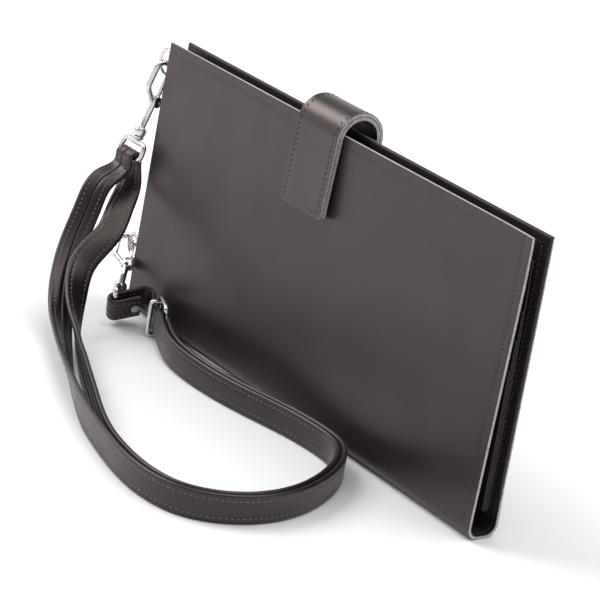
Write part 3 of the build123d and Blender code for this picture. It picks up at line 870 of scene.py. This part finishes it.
def along_tab(path, face, inset, pitch):
    """Stitch places round a tab's end and up both sides, on one of its faces."""
    spots = [Vector((y, z)) for y, z, _, _ in path]
    runs = [0.0]
    for one, two in zip(spots, spots[1:]):
        runs.append(runs[-1] + (two - one).length)
    ys, zs = [s.x for s in spots], [s.y for s in spots]

    def spot(run):
        """The place at a distance along the tab."""
        y, z = float(np.interp(run, runs, ys)), float(np.interp(run, runs, zs))
        y2, z2 = float(np.interp(run + 0.6, runs, ys)), float(np.interp(run + 0.6, runs, zs))
        y1, z1 = float(np.interp(run - 0.6, runs, ys)), float(np.interp(run - 0.6, runs, zs))
        way = Vector((0, y2 - y1, z2 - z1)).normalized()
        out = Vector((0, -way.z, way.y)) * (1 if face > 0 else -1)
        return Vector((0, y, z)) + out * (abs(face) - 0.06), way, out

    places = []
    side = TAB_HALF - inset
    count = int((runs[-1] - inset - 1.0) / pitch)
    for n in range(count):
        point, way, out = spot(inset + (n + 0.5) * pitch)
        for hand in (-1, 1):
            places.append((point + Vector((TAB_X + hand * side, 0, 0)), way, out))
    across = int(2 * side / pitch)
    for n in range(across):
        point, way, out = spot(inset)
        x = TAB_X - side + (n + 0.5) * 2 * side / across
        places.append((point + Vector((x, 0, 0)), Vector((1, 0, 0)), out))
    return places


def make_snap():
    """The hidden magnetic snap: a dished stud under the tab and its socket on the front."""
    z = TOP - 26.0
    lean = Vector((0, math.cos(TAB_LEAN), math.sin(TAB_LEAN)))
    inward = Vector((0, lean.z, -lean.y))
    foot = Vector((TAB_X, *TAB_FOOT))
    stud_at = foot + lean * (z - TAB_FOOT[1]) + inward * (TAB_PLY + 0.05)
    outward = Vector((0, -1, TAPER)).normalized()
    socket_at = Vector((TAB_X, -face_y(z), z)) + outward * 0.02
    outline = [(4.5, 0.0), (4.5, 0.28), (4.3, 0.46), (4.0, 0.55), (3.5, 0.55), (3.2, 0.42),
               (2.2, 0.38), (1.9, 0.5), (1.2, 0.55), (0.5, 0.55)]
    for name, at, out, body, node in (
        ("snap_stud_cap", stud_at, inward, "flap", "snap_stud"),
        ("snap_socket_cap", socket_at, outward, "front_half", "snap_socket"),
    ):
        place = Matrix.Translation(at) @ out.to_track_quat("Z", "X").to_matrix().to_4x4()
        cap = lathe(name, outline, place, "polished nickel")
        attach(cap, body)
        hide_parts(node)


# ------------------------------------------------------------------ ring tabs
def make_ring_tabs():
    """Small folded leather tabs that hold the two rings between the leaves."""
    for word, (ring_y, ring_z) in RING_PLACES.items():
        tall = RING_BEND - RING_WIRE - 0.1
        bore, thick = RING_WIRE + 0.1, 0.65
        outline = [(RING_BAR_X + 14.0 - s * 2.2, 0.02 + thick / 2, 0, 1) for s in range(6)]
        turns = 20
        for n in range(turns + 1):
            angle = math.radians(25) + math.radians(310) * n / turns
            reach = bore + thick / 2
            outline.append((
                RING_BAR_X + reach * math.cos(angle), reach * math.sin(angle),
                math.cos(angle), math.sin(angle),
            ))
        outline += [
            (RING_BAR_X + 3.0 + s * 2.2, -0.02 - thick / 2, 0, -1) for s in range(6)
        ]
        rises = [-tall, -tall + 0.5, -2.2, 0.0, 2.2, tall - 0.5, tall]
        near = [
            [(x + nx * thick / 2, ring_y + y + ny * thick / 2, ring_z + z) for z in rises]
            for x, y, nx, ny in outline
        ]
        far = [
            [(x - nx * thick / 2, ring_y + y - ny * thick / 2, ring_z + z) for z in rises]
            for x, y, nx, ny in outline
        ]
        looks = ["strap leather", "strap leather", "cut edge"]
        loop = leaf(f"ring_tab_{word}_loop", near, far, looks, 0.16)
        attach(loop, "front_half")
        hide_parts(f"ring_tab_{word}")


# ------------------------------------------------------------------ strap
def smooth_row(places, apart):
    """A smooth row of points through places, about that far apart."""
    knots = [0.0]
    for one, two in zip(places, places[1:]):
        knots.append(knots[-1] + (two - one).length)
    bends = natural_bends(knots, np.array([list(p) for p in places], float))
    count = max(2, round(knots[-1] / apart))
    return [spline_at(knots, places, bends, knots[-1] * n / count) for n in range(count + 1)]


def natural_bends(knots, values):
    """Second derivatives of the natural cubic through values at knots."""
    size = len(knots)
    matrix = np.zeros((size, size))
    wanted = np.zeros_like(values)
    matrix[0, 0] = matrix[-1, -1] = 1.0
    for n in range(1, size - 1):
        before, after = knots[n] - knots[n - 1], knots[n + 1] - knots[n]
        matrix[n, n - 1:n + 2] = before, 2 * (before + after), after
        wanted[n] = 6 * ((values[n + 1] - values[n]) / after - (values[n] - values[n - 1]) / before)
    return np.linalg.solve(matrix, wanted)


def spline_at(knots, places, bends, where):
    """The height, at a place between knots, of the smooth curve through them."""
    last = max(n for n, k in enumerate(knots[:-1]) if k <= where + 1e-9)
    span = knots[last + 1] - knots[last]
    b = (where - knots[last]) / span
    a = 1 - b
    bend = (a**3 - a) * bends[last] + (b**3 - b) * bends[last + 1]
    return places[last] * a + places[last + 1] * b + Vector(bend * span * span / 6)


def turned(route):
    """A route's places, each with the strap's width direction there."""
    pairs = []
    for x, y, z, heading, down in route:
        heading, down = math.radians(heading), math.radians(down)
        level = Vector((math.cos(heading), math.sin(heading), 0))
        pairs.append((Vector((x, y, z)), level * math.cos(down) - UP * math.sin(down)))
    return pairs


def beside(points, distance):
    """A row of points moved level, to the left of the way they run, the strap on its edge."""
    moved = []
    for n, (x, y, z) in enumerate(points):
        before, after = points[max(n - 1, 0)], points[min(n + 1, len(points) - 1)]
        way = Vector((after[0] - before[0], after[1] - before[1])).normalized()
        moved.append((Vector((x - way.y * distance, y + way.x * distance, z)), ON_EDGE))
    return moved


def ply_run(route, apart=1.3):
    """Samples (place, width) along a ply's smooth curve."""
    places = [place for place, _ in route]
    knots = [0.0]
    for one, two in zip(places, places[1:]):
        knots.append(knots[-1] + (two - one).length)
    bends = natural_bends(knots, np.array([list(p) for p in places], float))
    count = round(knots[-1] / apart)
    run = []
    for n in range(count + 1):
        where = knots[-1] * n / count
        last = max(k for k, mark in enumerate(knots[:-1]) if mark <= where + 1e-9)
        share = (where - knots[last]) / (knots[last + 1] - knots[last])
        width = route[last][1] * (1 - share) + route[last + 1][1] * share
        run.append((spline_at(knots, places, bends, where), width))
    return run


def half_turn(centre, out, aside, width, radius, count=14):
    """Samples of a fold round a bar, from one side to the other, leaving out the two ends."""
    run = []
    for n in range(1, count):
        angle = math.pi * n / count
        place = centre + aside * (radius * math.cos(angle)) - out * (radius * math.sin(angle))
        run.append((place, width))
    return run


def strap_run():
    """The whole strap as one row of samples, from the slider round both eyes to its tuck."""
    level = Vector((1, 0, 0))
    front, back = Vector((-127, -15.8885, BIGHT_LOW)), Vector((-127, -10.8885, BIGHT_LOW))
    outer = [(front, level), (front - UP * 3, level)] + turned(FRONT_FALL)
    outer += beside(LOOP_ROUTE, -PLY_OFFSET)
    bar = LOWER_BAR
    out = Vector((0.15, 1, 0))
    out = (out - bar * out.dot(bar)).normalized()
    aside = bar.cross(out)
    down = -bar if bar.z > 0 else bar
    joins = LOWER_EYE + out * END_LEG + aside * WRAP
    tail = [
        (SLIDER, ON_EDGE),
        (SLIDER + Vector((-7.0, 2.7, 1.0)), ON_EDGE),
        (joins + Vector((4.6, 5.2, -1.4)), ON_EDGE),
        (joins + Vector((1.5, 4.1, 0.2)), ON_EDGE * 0.5 + down * 0.5),
        (joins + out * 1.6, down),
        (joins, down),
    ]
    inner = [(back, level), (back - UP * 3, level)] + turned(BACK_FALL)
    inner += beside(LOOP_ROUTE, PLY_OFFSET) + tail
    run = list(reversed(ply_run(outer)))
    run += half_turn(UPPER_BIGHT, -UP, Vector((0, -1, 0)), level, WRAP)
    run += ply_run(inner)
    legs = 7
    run += [
        (LOWER_EYE + out * (END_LEG * (1 - n / legs)) + aside * WRAP, down)
        for n in range(1, legs + 1)
    ]
    run += half_turn(LOWER_EYE, out, aside, down, WRAP)
    run += [(LOWER_EYE + out * (END_TUCK * n / legs) - aside * WRAP, down) for n in range(legs + 1)]
    return run


def framed(run):
    """Adds to each sample its way, its width made square to that, and its face's direction."""
    spots = [p for p, _ in run]
    widths = [w.normalized() for _, w in run]
    for _ in range(3):
        widths = [widths[0]] + [
            (a + b * 2 + c).normalized() for a, b, c in zip(widths, widths[1:], widths[2:])
        ] + [widths[-1]]
    frames = []
    for n, point in enumerate(spots):
        before, after = spots[max(n - 1, 0)], spots[min(n + 1, len(spots) - 1)]
        way = (after - before).normalized()
        width = (widths[n] - way * widths[n].dot(way)).normalized()
        frames.append((point, way, width, way.cross(width)))
    return frames


def strap_section():
    """The folded strap's cut view as (across, up) pairs: plain front, butted seam behind."""
    thick, half = STRAP_THICK / 2, STRAP_HALF
    bend = 1.0
    front = []
    for w in (-4.9, -4.2, -3.85, -3.5, -3.15, -2.4, -1.2, 0.0, 1.2, 2.4, 3.15, 3.5, 3.85, 4.2, 4.9):
        crown = 0.06 * (1 - (w / half) ** 2) - groove(abs(w) - 3.5, 0.15, 0.35)
        front.append((w, thick - 0.06 + crown))
    right = [
        (half - bend + bend * math.sin(t), (thick - 0.08) * math.cos(t))
        for t in (math.radians(a) for a in (25, 50, 75, 90, 105, 130, 155))
    ]
    back = []
    for w in (4.9, 4.2, 3.5, 2.8, 1.6, 0.5, 0.16, 0.0):
        dent = groove(abs(w) - 3.5, 0.12, 0.35)
        seam = 0.0
        if w < 0.3:
            seam = 0.5 if w == 0.0 else 0.22
        back.append((w, -thick + 0.04 + dent + seam))
    back += [(-w, h) for w, h in reversed(back[:-1])]
    left = [(-w, h) for w, h in reversed(right)]
    return front + right + back + left


def make_strap():
    """The folded leather strap in one piece, with its two rows of stitching on both faces."""
    frames = framed(strap_run())
    section = strap_section()
    size = len(section)
    points, faces, picks = [], [], []
    for point, way, width, out in frames:
        for across, high in section:
            points.append(point + width * across + out * high)
    for n in range(len(frames) - 1):
        a, b = n * size, (n + 1) * size
        for k in range(size):
            m = (k + 1) % size
            faces.append((a + k, a + m, b + m, b + k))
            picks.append(0)
    last = (len(frames) - 1) * size
    faces += [tuple(reversed(range(size))), tuple(range(last, last + size))]
    picks += [1, 1]
    strap = make_piece("strap", points, faces, ["strap leather", "cut edge"], picks)
    strap.data.set_sharp_from_angle(angle=math.radians(60))
    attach(strap, "front_half")
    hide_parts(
        "strap_outer_ply", "strap_inner_ply", "strap_bight", "strap_end_loop",
    )
    pitch = bpy.context.scene.wristlet_stitch.pitch / MM
    places, run, due = [], 0.0, pitch
    for n in range(1, len(frames)):
        step = (frames[n][0] - frames[n - 1][0]).length
        while run + step >= due:
            share = (due - run) / step
            point = frames[n - 1][0].lerp(frames[n][0], share)
            _, way, width, out = frames[n]
            for across in (-3.5, 3.5):
                places.append((point + width * across + out * 0.9, way, out))
                places.append((point + width * across - out * 0.96, way, -out))
            due += pitch
        run += step
    # The strap's stitches take the lightened thread, whose pale colour is painted highlight.
    row = stitch_row("strap_stitching", places, "front_half", 0.1, "strap thread with painted glints")


# ------------------------------------------------------------------ metal
HOOKS = {                     # eye bar's middle, way along the bar, way across, way to the hook
    "upper": ((-127, -13.3885, 68.9144), (1, 0, 0), (0, 0.93969, -0.34202), (0, 0.34202, 0.93969)),
    "lower": (
        (-101.9953, -26.4951, 8.8797), (0.338503, -0.297649, 0.892648),
        (0.660336, 0.750970, 0), (-0.670352, 0.589448, 0.450754),
    ),
}
GATE_PIN_Z = 26.3


def bent_wire(corners, radius, closed=False, turns=8):
    """Points along straight runs whose corners are rounded to a radius."""
    corners = [Vector(c) for c in corners]
    count = len(corners)
    path = []
    for n, corner in enumerate(corners):
        if not closed and n in (0, count - 1):
            path.append(corner)
            continue
        before = (corners[n - 1] - corner).normalized()
        after = (corners[(n + 1) % count] - corner).normalized()
        half = before.angle(after) / 2
        reach = radius / math.tan(half)
        reach = min(reach, 0.49 * (corners[n - 1] - corner).length)
        reach = min(reach, 0.49 * (corners[(n + 1) % count] - corner).length)
        centre = corner + (before + after).normalized() * math.hypot(reach, reach * math.tan(half))
        start, end = corner + before * reach - centre, corner + after * reach - centre
        sweep, axis = start.angle(end), start.cross(end).normalized()
        for k in range(turns + 1):
            path.append(centre + Matrix.Rotation(sweep * k / turns, 3, axis) @ start)
    return path


def joined(name, pieces):
    """Several meshes made into one piece."""
    work = bmesh.new()
    for piece in pieces:
        work.from_mesh(piece.data)
    whole = pieces[0]
    work.to_mesh(whole.data)
    work.free()
    for piece in pieces[1:]:
        bpy.data.objects.remove(piece)
    whole.name = name
    return whole


def make_hook(word):
    """One swivel trigger hook: its eye, its turned and bent body, and its sprung gate."""
    origin, along_bar, across, up = (Vector(v) for v in HOOKS[word])
    place = Matrix.Translation(origin) @ Matrix((along_bar, across, up)).transposed().to_4x4()
    bar_place = (
        place @ Matrix.Translation((0, GATE_OFF, GATE_PIN_Z))
        @ Matrix.Rotation(math.pi / 2, 4, "Y")
    )
    look = "polished nickel"

    def at(points):
        return [place @ Vector(p) for p in points]

    def wire(name, corners, radius, bend, closed=False, sides=20):
        return tube(name, at(bent_wire(corners, bend, closed)), radius, look, closed, sides)

    eye = wire("eye", [(-8.4, 0, 0), (8.4, 0, 0), (7.4, 0, 7.0), (-7.4, 0, 7.0)], 1.2, 2.4, True)
    post = lathe("post", [(1.2, 6.6), (1.3, 7.4), (1.3, 11.1)], place, look, 24)
    eye = joined(f"hook_{word}_eye", [eye, post])
    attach(eye, "front_half")
    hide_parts(f"swivel_eye_{word}")
    barrel = lathe("barrel", [
        (2.3, 8.3), (2.8, 8.45), (3.0, 8.8), (3.0, 9.5), (2.72, 9.8), (2.72, 10.1), (3.0, 10.4),
        (3.0, 12.3), (2.8, 13.0), (2.2, 13.5), (1.7, 13.7), (1.5, 14.1), (1.5, 24.6),
        (1.7, 25.2), (1.4, 25.6),
    ], place, look, 32)
    bow = wire("bow", [
        (0, -0.9, 25.0), (0, -2.2, 26.7), (0, -6.5, 31.0), (0, -6.5, 43.4), (0, 0.8, 43.4),
        (0, 0.8, 38.6),
    ], 1.4, 3.4, sides=24)
    cheeks = []
    for hand in (-1, 1):
        flat = [(0.6, -0.5), (2.2, -0.5), (2.5, -0.3), (2.5, 0.3), (2.2, 0.5), (0.6, 0.5)]
        beside_bar = bar_place @ Matrix.Translation((0, 0, hand * CHEEK_OFF))
        cheeks.append(lathe("cheek", flat, beside_bar, look, 32))
    body = joined(f"hook_{word}_bow", [barrel, bow, *cheeks])
    body.data.set_sharp_from_angle(angle=math.radians(50))
    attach(body, f"hook_{word}")
    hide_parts(f"hook_body_{word}")
    pin_cut = [(0.3, -2.3), (0.5, -2.2), (0.5, 2.2), (0.3, 2.3)]
    pin = lathe(f"hook_{word}_pin", pin_cut, bar_place, look, 20)
    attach(pin, f"hook_{word}")
    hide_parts(f"gate_pin_{word}")
    bolt = lathe("bolt", [(0.8, 26.2), (1.0, 26.8), (1.0, 37.8), (0.8, 38.3)],
                 place @ Matrix.Translation((0, GATE_OFF, 0)), look, 24)
    hub = lathe("hub", [(1.1, -1.0), (1.3, -0.8), (1.3, 0.8), (1.1, 1.0)], bar_place, look, 24)
    knob_place = place @ Matrix.Translation((0, 1.5, 30.8)) @ Matrix.Rotation(-math.pi / 2, 4, "X")
    knob_cut = [(0.6, -0.4), (0.55, 0.5), (0.95, 0.9), (1.05, 1.2), (0.9, 1.5), (0.4, 1.65)]
    knob = lathe("knob", knob_cut, knob_place, look, 24)
    gate = joined(f"hook_{word}_gate", [bolt, hub, knob])
    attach(gate, f"gate_{word}")
    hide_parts(f"gate_{word}")


def make_hardware():
    """Hooks, rings, slider and rivet in polished nickel."""
    for word, (ring_y, ring_z) in RING_PLACES.items():
        make_hook(word)
        leg = RING_REACH - RING_BEND
        path = [Vector((0, 0, -RING_BEND)), Vector((0, 0, 0)), Vector((0, 0, RING_BEND))]
        for n in range(25):
            angle = math.pi / 2 - math.pi * n / 24
            across, rise = RING_BEND * math.cos(angle), RING_BEND * math.sin(angle)
            path.append(Vector((-leg - across, 0, rise)))
        path = [Vector((RING_BAR_X + p.x, ring_y, ring_z + p.z)) for p in path]
        ring = tube(f"ring_{word}", path, RING_WIRE, "polished nickel", True, 20)
        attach(ring, f"ring_{word}")
        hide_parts(f"d_ring_{word}")
    place = Matrix.Translation(SLIDER) @ Matrix.Rotation(math.radians(-23), 4, "Z")
    behind, tall, span, wire = 2.7, 7.6, 7.0, 1.1
    frame_path = bent_wire(
        [
            (-span, behind, -tall), (span, behind, -tall),
            (span, behind, tall), (-span, behind, tall),
        ],
        2.6, True,
    )
    inside = behind - wire
    bow_path = bent_wire(
        [(0, inside, tall), (0, -behind, tall), (0, -behind, -tall), (0, inside, -tall)], 1.5,
    )
    for name, path, closed, node in (
        ("slider_loop", frame_path, True, "slider_frame"),
        ("slider_bow", bow_path, False, "slider_bar"),
    ):
        piece = tube(name, [place @ p for p in path], wire, "polished nickel", closed)
        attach(piece, "front_half")
        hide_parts(node)
    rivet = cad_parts["end_rivet"]
    rivet.data.materials.clear()
    rivet.data.materials.append(finishes()["polished nickel"])
    rivet.data.polygons.foreach_set("use_smooth", [True] * len(rivet.data.polygons))
    rivet.data.set_sharp_from_angle(angle=math.radians(40))


# ------------------------------------------------------------------ stage
CAMERA_AZIMUTH, CAMERA_ELEVATION, CAMERA_ROLL = 50.15, 19.71, -10.27
CAMERA_AWAY, CAMERA_LENS = 1.0387, 153.7
AIM_HEIGHT, AIM_RIGHT, AIM_UP = 0.06125, -0.0088, -0.0102
SKY_FADE = (0.30, 1), (0.62, 0.22)    # height in the sky and its grey: white low, dim above


def make_camera():
    """The camera, and its tilt, lens and aim."""
    azimuth, elevation = math.radians(CAMERA_AZIMUTH), math.radians(CAMERA_ELEVATION)
    roll = math.radians(CAMERA_ROLL)
    back = Vector((
        math.sin(azimuth) * math.cos(elevation), -math.cos(azimuth) * math.cos(elevation),
        math.sin(elevation),
    ))
    right = Vector((math.cos(azimuth), math.sin(azimuth), 0))
    up = back.cross(right)
    image_right = right * math.cos(roll) - up * math.sin(roll)
    image_up = right * math.sin(roll) + up * math.cos(roll)
    aim = UP * AIM_HEIGHT + image_right * AIM_RIGHT + image_up * AIM_UP
    lens = bpy.data.cameras.new("camera")
    lens.sensor_width = 36.0
    lens.lens = CAMERA_LENS
    lens.clip_start, lens.clip_end = 0.05, 50.0
    camera = bpy.data.objects.new("camera", lens)
    turn = Matrix((image_right, image_up, back)).transposed()
    camera.matrix_world = Matrix.Translation(aim + back * CAMERA_AWAY) @ turn.to_4x4()
    bpy.context.scene.collection.objects.link(camera)
    bpy.context.scene.camera = camera


def soft_light(name, place, aim, width, height, power):
    """A rectangular lamp that points at a spot."""
    lamp = bpy.data.lights.new(name, "AREA")
    lamp.shape = "RECTANGLE"
    lamp.size, lamp.size_y = width, height
    lamp.energy = power
    light = bpy.data.objects.new(name, lamp)
    way = Vector(aim) - Vector(place)
    turn = way.to_track_quat("-Z", "Y").to_matrix().to_4x4()
    light.matrix_world = Matrix.Translation(place) @ turn
    bpy.context.scene.collection.objects.link(light)


def make_stage():
    """Pale floor, white surroundings, soft studio light and the camera."""
    setting = bpy.context.scene.wristlet_stage
    mesh = bpy.data.meshes.new("floor")
    reach = 12.0
    mesh.from_pydata(
        [(-reach, -reach, 0), (reach, -reach, 0), (reach, reach, 0), (-reach, reach, 0)],
        [], [(0, 1, 2, 3)],
    )
    mesh.materials.append(floor_finish("plain floor", setting.floor))
    floor = bpy.data.objects.new("floor", mesh)
    bpy.context.scene.collection.objects.link(floor)
    world = bpy.data.worlds.new("white surroundings")
    world.use_nodes = True
    tree = world.node_tree
    way = tree.nodes.new("ShaderNodeSeparateXYZ")
    tree.links.new(tree.nodes.new("ShaderNodeTexCoord").outputs["Generated"], way.inputs[0])
    fade = tree.nodes.new("ShaderNodeValToRGB")
    for stop, (height, grey) in zip(fade.color_ramp.elements, SKY_FADE):
        stop.position, stop.color = height, (grey, grey, grey, 1)
    tree.links.new(way.outputs["Z"], fade.inputs["Fac"])
    tree.links.new(fade.outputs["Color"], tree.nodes["Background"].inputs["Color"])
    tree.nodes["Background"].inputs["Strength"].default_value = setting.sky
    bpy.context.scene.world = world
    soft_light("key light", (-1.5, -0.9, 1.9), (0, 0, 0.05), 1.6, 1.6, setting.key)
    soft_light("top light", (0.3, 0.5, 2.2), (0, 0, 0), 2.0, 2.0, setting.key * 0.8)
    make_camera()
    bpy.context.scene.view_settings.view_transform = "Standard"


# ------------------------------------------------------------------ operators
class WRISTLET_OT_cover(bpy.types.Operator):
    """Cut and sew the cover: front panel, spine and back panel"""
    bl_idname = "wristlet.cover"
    bl_label = "Cover"

    def execute(self, context):
        make_cover()
        return {"FINISHED"}


class WRISTLET_OT_lining(bpy.types.Operator):
    """Line both halves and the spine"""
    bl_idname = "wristlet.lining"
    bl_label = "Lining"

    def execute(self, context):
        make_lining()
        return {"FINISHED"}


class WRISTLET_OT_pockets(bpy.types.Operator):
    """Sew in the slip, note and card pockets"""
    bl_idname = "wristlet.pockets"
    bl_label = "Pockets"

    def execute(self, context):
        make_pockets()
        return {"FINISHED"}


class WRISTLET_OT_tab(bpy.types.Operator):
    """Make the closure tab and its snap"""
    bl_idname = "wristlet.tab"
    bl_label = "Closure tab"

    def execute(self, context):
        make_tab()
        make_snap()
        return {"FINISHED"}


class WRISTLET_OT_ring_tabs(bpy.types.Operator):
    """Fold the two leather tabs that hold the rings"""
    bl_idname = "wristlet.ring_tabs"
    bl_label = "Ring tabs"

    def execute(self, context):
        make_ring_tabs()
        return {"FINISHED"}


class WRISTLET_OT_strap(bpy.types.Operator):
    """Fold and sew the wrist strap along its route"""
    bl_idname = "wristlet.strap"
    bl_label = "Strap"

    def execute(self, context):
        make_strap()
        return {"FINISHED"}


class WRISTLET_OT_hardware(bpy.types.Operator):
    """Polish the hooks, rings, slider and rivet"""
    bl_idname = "wristlet.hardware"
    bl_label = "Hardware"

    def execute(self, context):
        make_hardware()
        return {"FINISHED"}


class WRISTLET_OT_stage(bpy.types.Operator):
    """Set the floor, the light and the camera"""
    bl_idname = "wristlet.stage"
    bl_label = "Stage"

    def execute(self, context):
        make_stage()
        return {"FINISHED"}


PIECE_OPERATORS = (
    WRISTLET_OT_cover, WRISTLET_OT_lining, WRISTLET_OT_pockets, WRISTLET_OT_tab,
    WRISTLET_OT_ring_tabs, WRISTLET_OT_strap, WRISTLET_OT_hardware, WRISTLET_OT_stage,
)


class WRISTLET_PT_panel(bpy.types.Panel):
    """Lists the wallet's pieces and their settings"""
    bl_label = "Wristlet wallet"
    bl_idname = "WRISTLET_PT_panel"
    bl_space_type = "VIEW_3D"
    bl_region_type = "UI"
    bl_category = "Wristlet"

    def draw(self, context):
        column = self.layout.column()
        for settings in SETTINGS:
            group = getattr(context.scene, settings)
            for name in group.bl_rna.properties.keys():
                if name not in ("rna_type", "name"):
                    column.prop(group, name)
        for operator in PIECE_OPERATORS:
            column.operator(operator.bl_idname)


SETTINGS = {
    "wristlet_leather": LeatherSettings,
    "wristlet_stitch": StitchSettings,
    "wristlet_metal": MetalSettings,
    "wristlet_stage": StageSettings,
}
CLASSES = (*SETTINGS.values(), *PIECE_OPERATORS, WRISTLET_PT_panel)


def register():
    """Add the settings, operators and panel to Blender."""
    for made in CLASSES:
        bpy.utils.register_class(made)
    for name, group in SETTINGS.items():
        setattr(bpy.types.Scene, name, PointerProperty(type=group))


def unregister():
    """Take them out again, last one first."""
    for name in SETTINGS:
        delattr(bpy.types.Scene, name)
    for made in reversed(CLASSES):
        bpy.utils.unregister_class(made)


def main():
    """Run every operator in order."""
    register()
    bpy.ops.wristlet.cover()
    bpy.ops.wristlet.lining()
    bpy.ops.wristlet.pockets()
    bpy.ops.wristlet.tab()
    bpy.ops.wristlet.ring_tabs()
    bpy.ops.wristlet.strap()
    bpy.ops.wristlet.hardware()
    bpy.ops.wristlet.stage()


if __name__ == "__main__":
    main()
